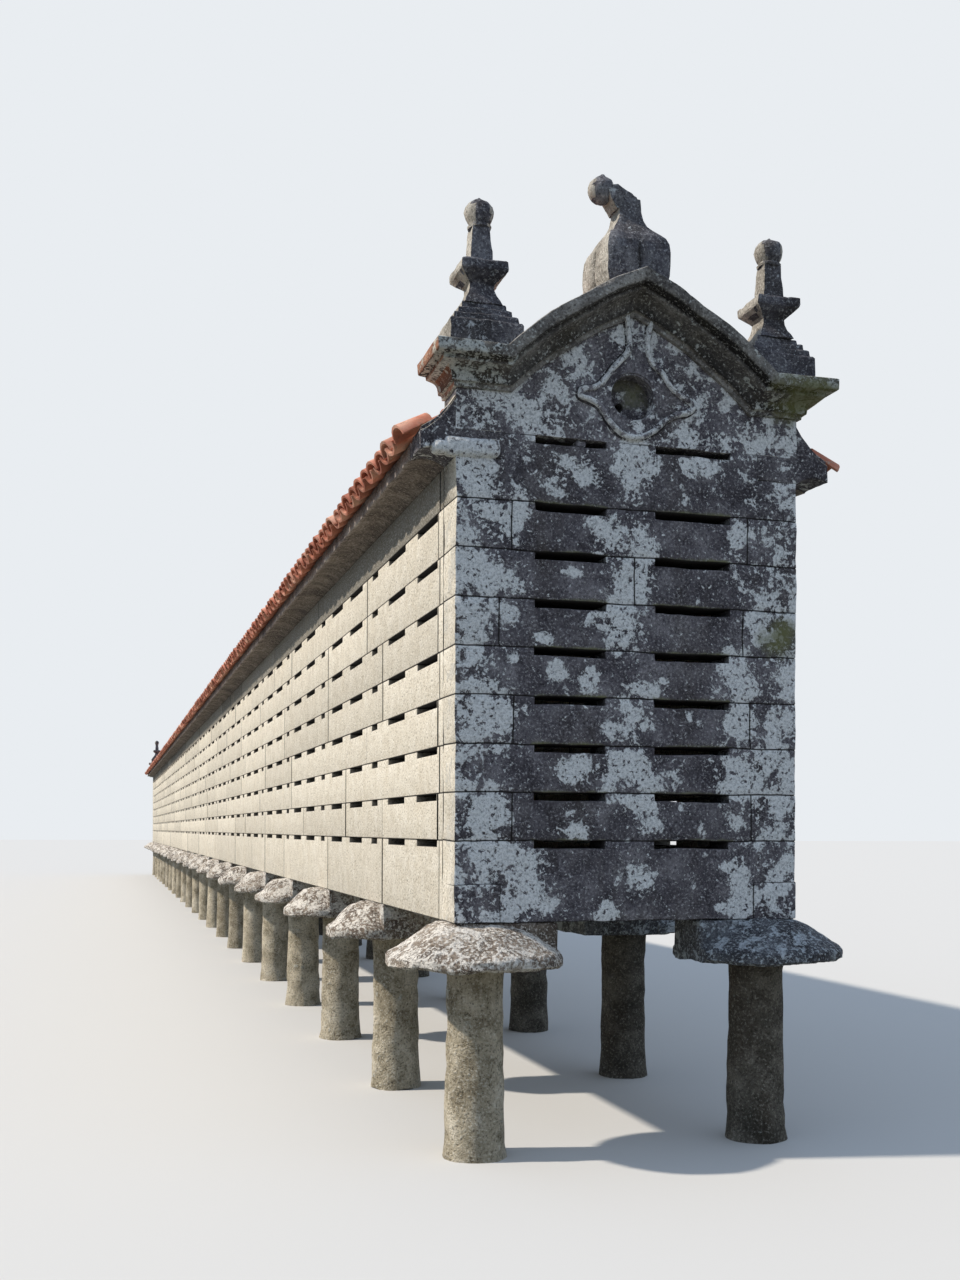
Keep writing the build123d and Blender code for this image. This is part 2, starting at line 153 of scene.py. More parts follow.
def granite(name, stone, crystals, lichen, cover, patch, stain, stained, relief, mottle=160):
    """Weathered granite: mottled stone with dark and bright crystals, stains, and crusts of lichen.

    stone has its dark, middle and light colour, crystals and lichen their dark and light one. cover
    is how easily lichen grows. stain is the colour of the stains and stained their strength. patch
    is the width of the crusts, relief the depth of the dressing and mottle the width of the
    mottling, in millimetres. A piece may give its vertices a tone of their own, which in places also
    carries painted shade and painted highlights, an amount of lichen and of moss, and a joint, which
    blackens grimy arrises and, as painted shade, the inside of slots.
    """
    material = bpy.data.materials.new(name)
    tree = empty_tree(material)
    place = add(tree, "TexCoord", out="Object")
    mottling = add(tree, "TexNoise", {
        "Vector": place, "Scale": metre / mottle, "Detail": 8, "Roughness": 0.7})
    body = mottled(tree, mottling, (0.38, 0.5, 0.64), stone, 0.3)

    # Stains run down the face, so their noise is stretched upright. Crystals of 3 to 6 mm are drawn
    # 12 mm wide so that they show.
    upright = add(tree, "Mapping", {"Vector": place, "Scale": (1, 1, 0.22)})
    runs = add(tree, "TexNoise", {"Vector": upright, "Scale": metre / 260, "Detail": 6, "Roughness": 0.6})
    grain = add(tree, "TexNoise", {"Vector": place, "Scale": metre / 12, "Detail": 3, "Roughness": 0.75})
    body = tinted(tree, body, (runs, 0.5, 0.68, stained, stain), (grain, 0.45, 0.36, 0.7, crystals[0]),
                  (grain, 0.55, 0.66, 0.6, crystals[1]))

    # Lichen in wide crusts, with colonies and bare spots a fifth as wide sprinkled round them
    grown = add(tree, "Attribute", out="Fac", attribute_name="lichen")
    layers = []
    for width, detail, pull, level in ((patch, 8, 0.3, 0.665), (patch / 5, 3, 0.2, 0.69)):
        spores = add(tree, "TexNoise", {
            "Vector": place, "Scale": metre / width, "Detail": detail, "Roughness": 0.62, "Distortion": 0.3})
        level -= cover
        drawn = add(tree, "Math", {0: grown, 1: pull, 2: spores}, operation="MULTIPLY_ADD")
        layers.append(add(tree, "MapRange", {"Value": drawn, "From Min": level, "From Max": level + 0.03}))
    covered = add(tree, "Math", {0: layers[0], 1: layers[1]}, operation="MAXIMUM")
    spotted = add(tree, "MapRange", {"Value": spores, "From Min": 0.37, "From Max": 0.41})
    crust = add(tree, "Math", {0: covered, 1: spotted}, operation="MULTIPLY")
    pitted = add(tree, "MapRange", {"Value": grain, "From Min": 0.36, "From Max": 0.56})
    pale = add(tree, "Mix", {0: pitted, 6: lichen[0], 7: lichen[1]}, out=2, data_type="RGBA")
    body = add(tree, "Mix", {0: crust, 6: body, 7: pale}, out=2, data_type="RGBA")

    damp = add(tree, "Attribute", out="Fac", attribute_name="moss")
    mossy = add(tree, "Math", {0: damp, 1: mottling}, operation="MULTIPLY")
    body = tinted(tree, body, (mossy, 0.26, 0.42, 0.8, "#77794c"))
    # The joint attribute blackens grimy joints, and as painted shade the inside of slots
    joint = add(tree, "Attribute", out="Fac", attribute_name="joint")
    body = add(tree, "Mix", {0: joint, 6: body, 7: "#1f1d1c"}, out=2, data_type="RGBA")

    raised = add(tree, "Math", {0: crust, 1: 0.35, 2: grain}, operation="MULTIPLY_ADD")
    height = add(tree, "Math", {0: mottling, 1: 1.5, 2: raised}, operation="MULTIPLY_ADD")
    bump = add(tree, "Bump", {"Strength": 0.9, "Distance": relief / metre, "Height": height})
    shader = add(tree, "BsdfPrincipled", {
        "Base Color": body, "Roughness": 0.92, "Specular IOR Level": 0.25, "Normal": bump})
    add(tree, "OutputMaterial", {"Surface": shader})
    return material


# Starts the noise at the same place in each run, because it otherwise starts from the clock
noise.seed_set(5)
chance = Random(5)


def roughen(part, *dressings, seed=0):
    """Uneven dressing: vertices move with noises whose lumps and depths are in millimetres."""
    for lump, depth in dressings:
        for v in part.verts:
            v.co += noise.noise_vector(v.co * metre / lump + Vector((seed, seed, 0))) * depth / metre


def mark(part, name, amount):
    """Gives each vertex its amount of tone, lichen, moss or joint, by a function of its place."""
    layer = part.verts.layers.float.get(name) or part.verts.layers.float.new(name)
    for v in part.verts:
        v[layer] = amount(v.co)


def lay(bm, part, tone=0.0, place=None):
    """Sets a finished stone in its piece, with its own tone from darker to paler."""
    layer = part.verts.layers.float.get("tone") or part.verts.layers.float.new("tone")
    for v in part.verts:
        v[layer] += tone
    if place is not None:
        bmesh.ops.transform(part, matrix=place, verts=part.verts)
    mesh = bpy.data.meshes.new("stone")
    part.to_mesh(mesh)
    part.free()
    bm.from_mesh(mesh)
    bpy.data.meshes.remove(mesh)


def piece(bm, name, materials, nodes, crease=40):
    """Makes an object of a bmesh, smooth up to the crease angle, and lets it stand for CAD nodes."""
    for face in bm.faces:
        face.smooth = True
    for edge in bm.edges:
        edge.smooth = edge.is_manifold and edge.calc_face_angle() < radians(crease)
    made = bpy.data.objects.new(name, bpy.data.meshes.new(name))
    bm.to_mesh(made.data)
    bm.free()
    for material in materials:
        made.data.materials.append(material)
    bpy.context.scene.collection.objects.link(made)
    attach(made, "root")
    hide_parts(*nodes)


half_width = 0.805
half_length = 18.265
column_x = 0.675
column_height = 0.83
column_foot, column_head = 0.134, 0.122
# Bays between the columns: uneven near the front, all alike farther back
near_bays = (1.504, 1.775, 1.765, 1.81, 1.77)
far_bays = 15
stone_half = 0.25
# How much wider the last bay is than the other far ones
last_bay_extra = 0.006
far_bay = (2 * (half_length - stone_half) - last_bay_extra - sum(near_bays)) / (far_bays + 1)
supports = [-half_length + stone_half + near_bays[0]]
for bay in near_bays[1:] + (far_bay,) * far_bays:
    supports.append(supports[-1] + bay)
# How far the corner columns stand in from the gable's face
corner_inset = 0.13

# Pale warm stone, pitted all over by the point
column_granite = granite(
    "point_dressed_column_granite", ("#9c917b", "#cdc1a9", "#f0e6d2"), ("#3d372c", "#fffbef"),
    ("#c0bdaf", "#e8e5d9"), 0.0, 110, "#857860", 0.45, relief=20)
# The same stone for the row on the side without sun, made dark and brown as painted shade
shaded_column_granite = granite(
    "painted_shade_column_granite", ("#45423b", "#625d54", "#857f74"), ("#2a2721", "#b7b2a6"),
    ("#80847f", "#b3b5ae"), -0.01, 90, "#453b30", 0.7, relief=16)


def column(y, seed, segments, rings):
    """One column at x = 0: a tapering drum, flared a little at head and foot."""
    part = bmesh.new()
    bmesh.ops.create_cone(part, cap_ends=True, segments=segments, radius1=column_foot,
                          radius2=column_head, depth=column_height,
                          matrix=Matrix.Translation((0, y, column_height / 2)))
    upright = [e for e in part.edges if abs(e.verts[0].co.z - e.verts[1].co.z) > 0.1]
    bmesh.ops.subdivide_edges(part, edges=upright, cuts=rings)
    for v in part.verts:
        share = v.co.z / column_height
        swell = 1 + 0.05 * (2 * share - 1) ** 8 - 0.02 * sin(pi * share)
        v.co.x *= swell
        v.co.y = y + (v.co.y - y) * swell
    roughen(part, (90, 10), (30, 6), seed=seed)
    for v in part.verts:
        v.co.z = min(max(v.co.z, 0), column_height)
    return part


for side, x, stone, first_seed in (
        ("left", -column_x, column_granite, 0), ("right", column_x, shaded_column_granite, 40)):
    bm = bmesh.new()
    for i, y in enumerate([corner_inset - half_length, *supports, half_length - corner_inset]):
        near = i < 5 or i == len(supports) + 1
        shaft = column(y, i + first_seed, *((28, 14) if near else (14, 5)))
        lay(bm, shaft, chance.uniform(-0.5, 0.4), Matrix.Translation((x, 0, 0)))
    piece(bm, f"{side}_dressed_columns", [stone], [f"{side}_columns"])


# The mushroom stones on the columns keep rats out. Each is one stone: a squared block under the wall
# and, outside it, a dome with a thick rim. At the corners the dome goes right round the column.
def turned(profile, steps, centre):
    """A solid of revolution about an upright axis, from the radii and heights of its profile."""
    part = bmesh.new()
    line = [part.verts.new((centre[0] + r, centre[1], z)) for r, z in profile]
    edges = [part.edges.new(pair) for pair in zip(line, line[1:])]
    bmesh.ops.spin(part, geom=line + edges, cent=(*centre, 0), axis=(0, 0, 1), angle=2 * pi,
                   steps=steps, use_merge=True)
    bmesh.ops.remove_doubles(part, verts=part.verts, dist=0.0005)
    bmesh.ops.recalc_face_normals(part, faces=part.faces)
    return part


def soften(part, width, segments):
    """Wears the arrises of a stone down by a width in millimetres."""
    edges = [e for e in part.edges if e.is_manifold and e.calc_face_angle() > radians(30)]
    bmesh.ops.bevel(part, geom=edges, offset=width / metre, segments=segments, profile=0.5,
                    affect="EDGES", material=-1, clamp_overlap=True)


def refine(part, longer_than, cuts):
    """Divides the long edges of a stone, so that its faces can be roughened."""
    edges = [e for e in part.edges if e.calc_length() > longer_than]
    bmesh.ops.subdivide_edges(part, edges=edges, cuts=cuts, use_grid_fill=True)


def cut(part, point, normal, **taken):
    """Cuts new edges into a part where a plane crosses it."""
    bmesh.ops.bisect_plane(part, geom=[*part.verts, *part.edges, *part.faces], dist=0.0002,
                           plane_co=point, plane_no=normal, **taken)


def sliced(part, axis, places):
    """Cuts new edges across a part, square to an axis, at each of the places."""
    for place in places:
        point, normal = Vector((0, 0, 0)), Vector((0, 0, 0))
        point[axis], normal[axis] = place, 1
        cut(part, point, normal)


def spread(low, high, pitch):
    """Evenly spaced places between two ends, about a pitch apart."""
    count = max(1, round((high - low) / pitch))
    return [low + (high - low) * i / count for i in range(1, count)]


def block(low, high, pitch=None):
    """A squared stone between two corners, cut into a mesh of the given pitch."""
    part = bmesh.new()
    low, high = Vector(low), Vector(high)
    size = Matrix.Diagonal((*(high - low), 1))
    bmesh.ops.create_cube(part, size=1, matrix=Matrix.Translation((low + high) / 2) @ size)
    if pitch:
        for axis in range(3):
            sliced(part, axis, spread(low[axis], high[axis], pitch))
    return part


stone_foot, stone_top = 0.8303, 1.0203
block_reach = 0.468
block_inner = -half_width + block_reach
dome_radius = 0.262
corner_block_depth, corner_dome_radius = 0.3, 0.385
# Shares of the radius and of the height, from the middle of the underside round the rim to the top
dome_profile = ((0, 0), (0.5, 0), (0.95, 0.01), (1, 0.08), (1, 0.24), (0.97, 0.32), (0.87, 0.43),
                (0.75, 0.6), (0.62, 0.79), (0.48, 0.93), (0.3, 1), (0, 1))
# The left stones stand in the sun. The right ones take a darker, bluer copy of the stone, painted shade
mushroom_granite = {
    "left": granite(
        "lichened_mushroom_granite", ("#62574f", "#958779", "#c2b5a7"), ("#332d2a", "#fbf4ea"),
        ("#c3bdb6", "#fbf5ec"), 0.17, 75, "#6a554a", 0.5, relief=14),
    "right": granite(
        "painted_shade_mushroom_granite", ("#3c3d42", "#575a60", "#777b82"), ("#26262a", "#c9ced4"),
        ("#8f979f", "#c9d1d8"), 0.12, 75, "#4a4340", 0.5, relief=14)}
# The sides and ends, with the axes in which each mirrors the left front one
sides = (("left", ()), ("right", (0,)))
ends = (("front", ()), ("back", (1,)))
corners = [(end, side, (*over, *across)) for end, over in ends for side, across in sides]


def dome(radius, centre, steps, inner):
    """The domed part of a mushroom stone, cut off upright at X = inner."""
    height = stone_top - stone_foot
    cap = turned([(r * radius, stone_foot + z * height) for r, z in dome_profile], steps, centre)
    cut(cap, (inner, 0, 0), (1, 0, 0), clear_outer=True)
    bmesh.ops.holes_fill(cap, edges=[e for e in cap.edges if e.is_boundary])
    return cap


def mushroom_stone(bm, y, seed, fine):
    """A stone of the left row: block and half dome, roughly dressed."""
    base = block((-half_width, y - stone_half, stone_foot), (block_inner, y + stone_half, stone_top),
                 0.06 if fine else 0.12)
    soften(base, 9, 1)
    roughen(base, (120, 6), seed=seed)
    lay(bm, base, 0.3)
    cap = dome(dome_radius, (-half_width + 0.004, y), 36 if fine else 18, -half_width + 0.02)
    if fine:
        refine(cap, 0, 1)
    roughen(cap, (110, 12), (30, 5), seed=seed)
    lay(bm, cap, 0.1)


def corner_stone(bm, seed, block_tone_and_shade, block_lichen):
    """The front left corner stone, whose dome is cut from the same block and ends flush with it."""
    front = -half_length
    base = block((-half_width, front, stone_foot),
                 (block_inner, front + corner_block_depth, stone_top), 0.04)
    soften(base, 10, 1)
    roughen(base, (120, 5), seed=seed)
    mark(base, "lichen", lambda place: block_lichen)
    lay(bm, base, block_tone_and_shade)
    cap = dome(corner_dome_radius, (-column_x, front + corner_inset), 64, block_inner - 0.004)
    refine(cap, 0, 1)
    roughen(cap, (150, 14), (28, 5), seed=seed)
    lay(bm, cap, 0.1)


def mirrored(bm, *axes):
    """A copy of the stones reflected in the plane square to each axis."""
    copy = bm.copy()
    scale = [-1 if axis in axes else 1 for axis in range(3)]
    bmesh.ops.transform(copy, matrix=Matrix.Diagonal((*scale, 1)), verts=copy.verts)
    if len(axes) == 1:
        bmesh.ops.reverse_faces(copy, faces=copy.faces)
    return copy


for (side, axes), first_seed in zip(sides, (0, 60)):
    bm = bmesh.new()
    for i, y in enumerate(supports):
        mushroom_stone(bm, y, i + first_seed, i < 6)
    piece(mirrored(bm, *axes), f"{side}_domed_mushroom_stones", [mushroom_granite[side]],
          [f"{side}_mushroom_stones"])
for seed, (end, side, axes) in enumerate(corners, 90):
    bm = bmesh.new()
    # The block of the left stones faces away from the sun and the rain and is darkened as painted shade, and
    # little grows on it
    corner_stone(bm, seed, *((-1.2, -0.5) if side == "left" else (0.6, 0)))
    piece(mirrored(bm, *axes), f"{end}_{side}_domed_corner_stone", [mushroom_granite[side]],
          [f"{end}_{side}_corner_stone"])


# The floor of the chamber: rough slabs of granite laid across from one row of mushroom stones to the
# other, one to each bay. Only their undersides and edges show.
side_start = half_length - 0.2003
slab_foot, slab_top = 1.0206, 1.1406
slab_reach, slab_gap = 0.6545, 0.0003
slabs = len(supports) + 1
# Pale cream stone, finely picked and nearly clean
pale_granite = granite(
    "pale_picked_granite", ("#dad1c0", "#e6dece", "#f0e9db"), ("#5c5448", "#fffbf2"),
    ("#c6c1b6", "#e0dbd0"), -0.05, 120, "#d6c4a2", 0.12, relief=6, mottle=70)
bm = bmesh.new()
bay = 2 * side_start / slabs
for i in range(slabs):
    start = -side_start + i * bay
    slab = block((-slab_reach, start, slab_foot), (slab_reach, start + bay - slab_gap, slab_top))
    soften(slab, 6, 1)
    lay(bm, slab, chance.uniform(-0.5, 0.1))
piece(bm, "laid_floor_slabs", [pale_granite], ["floor_slabs"])


# The gable walls: courses of squared granite, each with two slots cut in its top edge to air the
# grain. The weather has blackened the face, and pale lichen grows on it in round crusts. A chip of
# stone is wedged in the top left slot.
chamber_foot = 1.0206
foot_course, course_height, slot_rows = 0.352, 0.208, 8
band_height, shoulder_height = 0.177, 0.113
first_bed = chamber_foot + foot_course
slots_top = first_bed + (slot_rows - 1) * course_height
band_top = slots_top + band_height
shoulder_top = band_top + shoulder_height
gable_thickness = 0.2
gable_slots = ((-0.45, -0.123), (0.109, 0.47))
gable_slot_height = 0.034
# How wide the worn edge of a stone is, which grime blackens at the joints
arris = 0.0035
# How dark the stones under the eaves are made, as painted shade of the eaves
painted_eaves_shade_tone = -2.3
# Upright joints of each course, from the bottom
gable_joints = ((), (-0.55, 0.581), (), (-0.547, 0.575), (), (-0.611, 0.537), (0.013,), (-0.555, 0.555))
# The small stones let into the lower corners: their inner ends, top, depth and reach past the wall
corner_joints, corner_top, corner_depth = (-0.596, 0.59), 1.187, 0.12
corner_side_reach, corner_face_reach = 0.003, 0.0055
# How far in the kneelers bear on the last course of the gable
kneeler_bearing = 0.196
# The chip in the top left slot, from corner to corner
chip_corners = ((-0.26, 0.012, shoulder_top - 0.03), (-0.215, 0.09, shoulder_top - 0.002))
# Places and half widths of the crusts of lichen, from the top of the wall down
crusts = (
    (-0.46, 3.19, 0.1, 0.08), (-0.73, 2.95, 0.09, 0.08), (-0.68, 2.86, 0.13, 0.03), (-0.59, 2.75, 0.06, 0.09),
    (0.02, 3.04, 0.1, 0.07), (-0.01, 2.9, 0.07, 0.05), (-0.06, 2.69, 0.11, 0.08), (0.04, 2.66, 0.07, 0.06),
    (0.33, 3.05, 0.07, 0.04), (-0.24, 2.98, 0.07, 0.06), (-0.37, 2.92, 0.07, 0.04), (0.43, 3.15, 0.05, 0.04),
    (0.58, 3.17, 0.08, 0.06), (-0.71, 2.54, 0.09, 0.09), (-0.6, 2.49, 0.1, 0.06), (-0.71, 2.33, 0.09, 0.07),
    (-0.57, 2.35, 0.05, 0.06), (-0.05, 2.31, 0.09, 0.09), (-0.03, 2.47, 0.06, 0.1), (0.06, 2.49, 0.04, 0.06),
    (0.61, 2.34, 0.06, 0.08), (0.53, 2.1, 0.09, 0.1), (0.06, 2.04, 0.07, 0.04), (-0.36, 2.1, 0.04, 0.05),
    (-0.2, 2.07, 0.04, 0.06), (-0.61, 1.92, 0.08, 0.09), (-0.72, 1.87, 0.08, 0.08), (0.01, 1.94, 0.08, 0.06),
    (-0.06, 1.86, 0.06, 0.05), (0.52, 1.92, 0.06, 0.1), (-0.02, 1.69, 0.1, 0.08), (0.1, 1.63, 0.08, 0.05),
    (0.53, 1.66, 0.1, 0.1), (-0.27, 1.69, 0.07, 0.05), (0.64, 1.75, 0.11, 0.08), (-0.67, 1.51, 0.1, 0.1),
    (0.08, 1.44, 0.05, 0.03), (-0.26, 1.42, 0.06, 0.05), (0.01, 1.54, 0.09, 0.04), (-0.61, 1.3, 0.15, 0.07),
    (-0.48, 1.23, 0.07, 0.09), (0.05, 1.22, 0.05, 0.07), (0.53, 1.21, 0.06, 0.07), (0.54, 1.08, 0.07, 0.06),
    (-0.1, 1.06, 0.05, 0.05), (-0.48, 1.1, 0.1, 0.06), (0.71, 1.54, 0.08, 0.08), (-0.5, 2.8, 0.04, 0.05),
    (0.5, 2.73, 0.04, 0.09), (-0.26, 2.54, 0.04, 0.02), (-0.41, 2.24, 0.04, 0.03), (0.5, 1.47, 0.04, 0.03))
# Places and half widths of the two patches of moss
mosses = ((0.71, 2.3, 0.12, 0.13), (0.85, 3.36, 0.3, 0.12))
# Cold grey stone, blackened, with whitish crusts
gable_granite = granite(
    "blackened_gable_granite", ("#454248", "#636066", "#88858a"), ("#29272c", "#d2d1d5"),
    ("#bfc2c4", "#f6f8f9"), 0.035, 95, "#524c46", 0.5, relief=7)


def nearness(place, patches):
    """1 in the middle of the nearest patch, a half at its rim and 0 farther out."""
    return max(0, 1 - min(hypot((place.x - x) / wide, (place.z - z) / high)
                          for x, z, wide, high in patches) / 2)


def encrust(part, least=0.0, most=1.0):
    """Gives each vertex its amount of lichen, and of moss, which also grows over the damp slots."""
    def lichen(place):
        edge = min(max(0, abs(place.x) - 0.47) * 2, 0.5)
        return min(most, max(least, nearness(place, crusts), edge))

    def moss(place):
        over_slot = any(low - 0.02 < place.x < high + 0.02 for low, high in gable_slots)
        over_bed = 0 < (place.z - first_bed + 0.002) % course_height < 0.02
        drip = over_slot and over_bed and place.z < slots_top + 0.1
        return max(0.66 * drip, nearness(place, mosses))

    mark(part, "lichen", lichen)
    mark(part, "moss", moss)


def fresh(result, kind):
    """The vertices, edges or faces that an operator has just made."""
    return [item for item in result["geom"] if isinstance(item, kind)]


def draw_out(part, faces, way, keep=False):
    """Draws faces of a part out by a vector."""
    grown = bmesh.ops.extrude_face_region(part, geom=faces, use_keep_orig=keep)
    bmesh.ops.translate(part, vec=way, verts=fresh(grown, BMVert))


def second_material(bm, wanted):
    """Gives the second material to the faces that a function of their middle and normal picks."""
    bm.normal_update()
    for face in bm.faces:
        face.material_index = int(wanted(face.calc_center_median(), face.normal))


def course_stone(start, end, foot, top, depth, notches, pitch=0.045):
    """A stone of a course with its face at Y = 0, and notches (start, end, depth) in its top edge.

    Grime blackens its worn arrises at the joints, and painted shade darkens the inside of the notches.
    """
    levels = sorted({0, *(deep for _, _, deep in notches)}, reverse=True)
    part = block((start, 0, foot), (end, depth, top - levels[0]))
    sliced(part, 0, [x for span in notches for x in span[:2] if start < x < end])
    for level, higher in zip(levels, levels[1:]):
        part.normal_update()
        lands = []
        for face in part.faces:
            middle = face.calc_center_median()
            notch = max([deep for low, high, deep in notches if low < middle.x < high], default=0)
            if face.normal.z > 0.9 and middle.z > top - level - 0.001 and notch <= higher:
                lands.append(face)
        draw_out(part, lands, (0, 0, level - higher))
    part.normal_update()
    soften(part, 5, 2)

    def grime_and_slot_shade(place):
        at_bed = min(place.z - foot, top - place.z) < arris
        at_end = min(place.x - start, end - place.x) < arris and abs(place.x) < half_width - 0.01
        # Painted shade: the inside of the notches is darkened
        inside = place.y > arris and any(
            low - 0.001 < place.x < high + 0.001 and place.z > top - deep - 0.001
            for low, high, deep in notches)
        return max(at_bed or at_end, 0.75 * inside)

    mark(part, "joint", grime_and_slot_shade)
    if pitch:
        sliced(part, 0, spread(start, end, pitch))
        sliced(part, 2, spread(foot, top, pitch))
    return part


def gable_stones():
    """All the stones of one gable wall, with the face at Y = 0."""
    slots = [(*span, gable_slot_height) for span in gable_slots]
    stones = []
    foot = chamber_foot
    for row, joints in enumerate(gable_joints):
        top = first_bed + row * course_height
        places = (-half_width, *joints, half_width)
        for start, end in zip(places, places[1:]):
            stones.append(course_stone(start, end, foot, top, gable_thickness, slots))
        foot = top
    for start, end in ((-half_width, corner_joints[0]), (corner_joints[1], half_width)):
        stones.append(course_stone(start, end, chamber_foot, corner_top, corner_depth, ()))
        bmesh.ops.translate(stones[-1], vec=(copysign(corner_side_reach, start), -corner_face_reach, 0),
                            verts=stones[-1].verts)
    inner = half_width - kneeler_bearing
    rests = [(-half_width, -inner, shoulder_height), (inner, half_width, shoulder_height)]
    last = course_stone(-half_width, half_width, slots_top, shoulder_top, gable_thickness, slots + rests)

    def shade(place):
        """Darkens its ends, which show at the sides of the gable under the eaves, as painted shade of the
        eaves.
        """
        return painted_eaves_shade_tone * (abs(place.x) > half_width - 0.002 and place.y > 0.01)

    mark(last, "tone", shade)
    return [*stones, last]


for end, turn in (("front", 0), ("back", pi)):
    bm = bmesh.new()
    place = Matrix.Rotation(turn, 4, "Z") @ Matrix.Translation((0, -half_length, 0))
    for stone in gable_stones():
        roughen(stone, (160, 5), (40, 3))
        encrust(stone)
        lay(bm, stone, chance.uniform(-0.3, 0.3), place)
    chip = block(*chip_corners)
    soften(chip, 4, 1)
    encrust(chip, 0.4)
    lay(bm, chip, 0.6, place)
    second_material(bm, lambda middle, way: abs(middle.x) > half_width - 0.02 and abs(way.x) > 0.8)
    piece(bm, f"{end}_coursed_gable", [gable_granite, pale_granite], [f"{end}_wall"])


# The long walls: courses of pale granite blocks, with slots cut in the top edge of each, two long
# ones and a short one in every group. Sun and rain keep these faces clean. The top course, under
# the eaves, is darkened as painted shade of the eaves.
side_thickness = 0.15
side_slot_height = 0.032
group_pitch, first_slot, groups = 1.785, 0.318, 20
group_slots = ((0, 0.4), (0.66, 1.06), (1.34, 1.5))
# Where an upright joint may stand in a group, and the shortest stone between two joints
group_joints = (0.53, 1.2, 1.64)
least_stone = 0.7
# How wide the washed-out strip is at each end of a stone
washed_width = 0.009


def group_start(group):
    """Where a group of slots starts, counted from the front end of a long wall."""
    return first_slot + group * group_pitch - half_length


def side_joints(row):
    """Upright joints of one course: one in each group of slots, between two of them."""
    places = [-side_start + 0.07 + 0.03 * (row % 2)]
    for group in range(groups):
        place = group_start(group) + chance.choice(group_joints)
        if place - places[-1] > least_stone:
            places.append(place)
    return [-side_start, *places, side_start]


def open_ends(part, start, end):
    """Blackens a strip of a stone's face along its ends, where the upright joints have washed out."""
    for width in (washed_width, washed_width + 0.001):
        sliced(part, 0, [start + width, end - width])
    joint = part.verts.layers.float["joint"]
    for v in part.verts:
        if min(v.co.x - start, end - v.co.x) < washed_width + 0.0005:
            v[joint] = 1


def side_wall_stones():
    """All the stones of a long wall, with its length along X and its face at Y = 0."""
    notches = [(group_start(group) + low, group_start(group) + high, side_slot_height)
               for group in range(groups) for low, high in group_slots]
    stones = []
    foot = chamber_foot
    for row in range(slot_rows + 1):
        slotted = row < slot_rows
        top = first_bed + row * course_height if slotted else band_top
        places = side_joints(row)
        for start, end in zip(places, places[1:]):
            mine = [notch for notch in notches if slotted and start < notch[0] < end]
            stones.append(course_stone(start, end, foot, top, side_thickness, mine, None))
            open_ends(stones[-1], start, end)
        foot = top
    return stones


for side, turn in (("left", -pi / 2), ("right", pi / 2)):
    bm = bmesh.new()
    place = Matrix.Rotation(turn, 4, "Z") @ Matrix.Translation((0, -half_width, 0))
    for stone in side_wall_stones():
        # The left wall is laid from the back, so its stones are turned end for end first
        if side == "left":
            bmesh.ops.transform(stone, matrix=Matrix.Diagonal((-1, 1, 1, 1)), verts=stone.verts)
            bmesh.ops.reverse_faces(stone, faces=stone.faces)
        bmesh.ops.translate(stone, vec=(0, chance.uniform(0, 0.003), 0), verts=stone.verts)
        # The top course is darkened as painted shade of the eaves
        in_painted_eaves_shade = max(v.co.z for v in stone.verts) > band_top - 0.01
        lay(bm, stone, chance.uniform(-0.35, 0.35) + painted_eaves_shade_tone * in_painted_eaves_shade, place)
    piece(bm, f"{side}_coursed_long_wall", [pale_granite], [f"{side}_side_wall"])


# The eaves course: long stones with a hollow soffit and an upright fascia that throw the rain clear
# of the wall. The kneelers at its ends are cut with it and rake up to the foot of the cornice.
eaves_lip, lip_foot, fascia = -0.962, 0.014, 0.074
soffit_hollow, rake_hollow = 0.022, 0.017
# How long the stones of the eaves are, and the shortest one at the far end
eaves_stone_lengths, least_eaves_stone = (1.1, 2.0), 0.6
slope_angle = radians(30)
roof_slope = tan(slope_angle)
kneeler_head = 3.2536
# The raking stone over the kneeler, which closes the end of the tiles
verge_outline = (
    (-0.955, 3.075), (-0.955, 3.115), (-0.88, 3.168), (-0.83, 3.222), (-0.806, 3.264), (-0.806, 3.19))
verge_face, verge_back = 0.004, 0.17
# The lumps of the nose under the left kneeler: their reach in X and in Z
nose_lumps = ((-0.908, -0.83, 3.006, 3.062), (-0.852, -0.612, 3.002, 3.084))
nose_reach = 0.02
# Above this the kneeler's upward faces take the pale stone, as painted sunlight along the top
rake_foot = 3.08
cornice_foot = shoulder_top + 0.175
# Brownish grey stone with dark streaks and hardly any crusts, darkened as painted shade of the eaves
shade_darkened_eaves_granite = granite(
    "shaded_eaves_granite", ("#5f5651", "#7d736d", "#9f958d"), ("#2c2724", "#e6ddd2"),
    ("#97938b", "#c2beb4"), -0.03, 110, "#50474a", 0.6, relief=6, mottle=110)


def bowed(start, end, rise):
    """Points from start to end along a curve that bows by the given rise to its left."""
    start, end = Vector(start), Vector(end)
    run = end - start
    side = Vector((-run.y, run.x)).normalized()
    steps = 6
    shares = [i / steps for i in range(steps + 1)]
    return [start + run * share + side * 4 * rise * share * (1 - share) for share in shares]


def prism(outline, y_start, y_end, pitch=None):
    """A stone whose outline, points of X and Z, runs on along Y."""
    part = bmesh.new()
    face = part.faces.new([part.verts.new((x, y_start, z)) for x, z in outline])
    draw_out(part, [face], (0, y_end - y_start, 0))
    bmesh.ops.recalc_face_normals(part, faces=part.faces)
    if pitch:
        for axis in range(3):
            places = [v.co[axis] for v in part.verts]
            sliced(part, axis, spread(min(places), max(places), pitch))
    return part


def eaves_outline():
    """The left eaves stone from the wall out along its soffit and up its fascia."""
    soffit = bowed((-half_width, band_top), (eaves_lip, band_top + lip_foot), -soffit_hollow)
    return [*soffit, Vector((eaves_lip, band_top + lip_foot + fascia))]


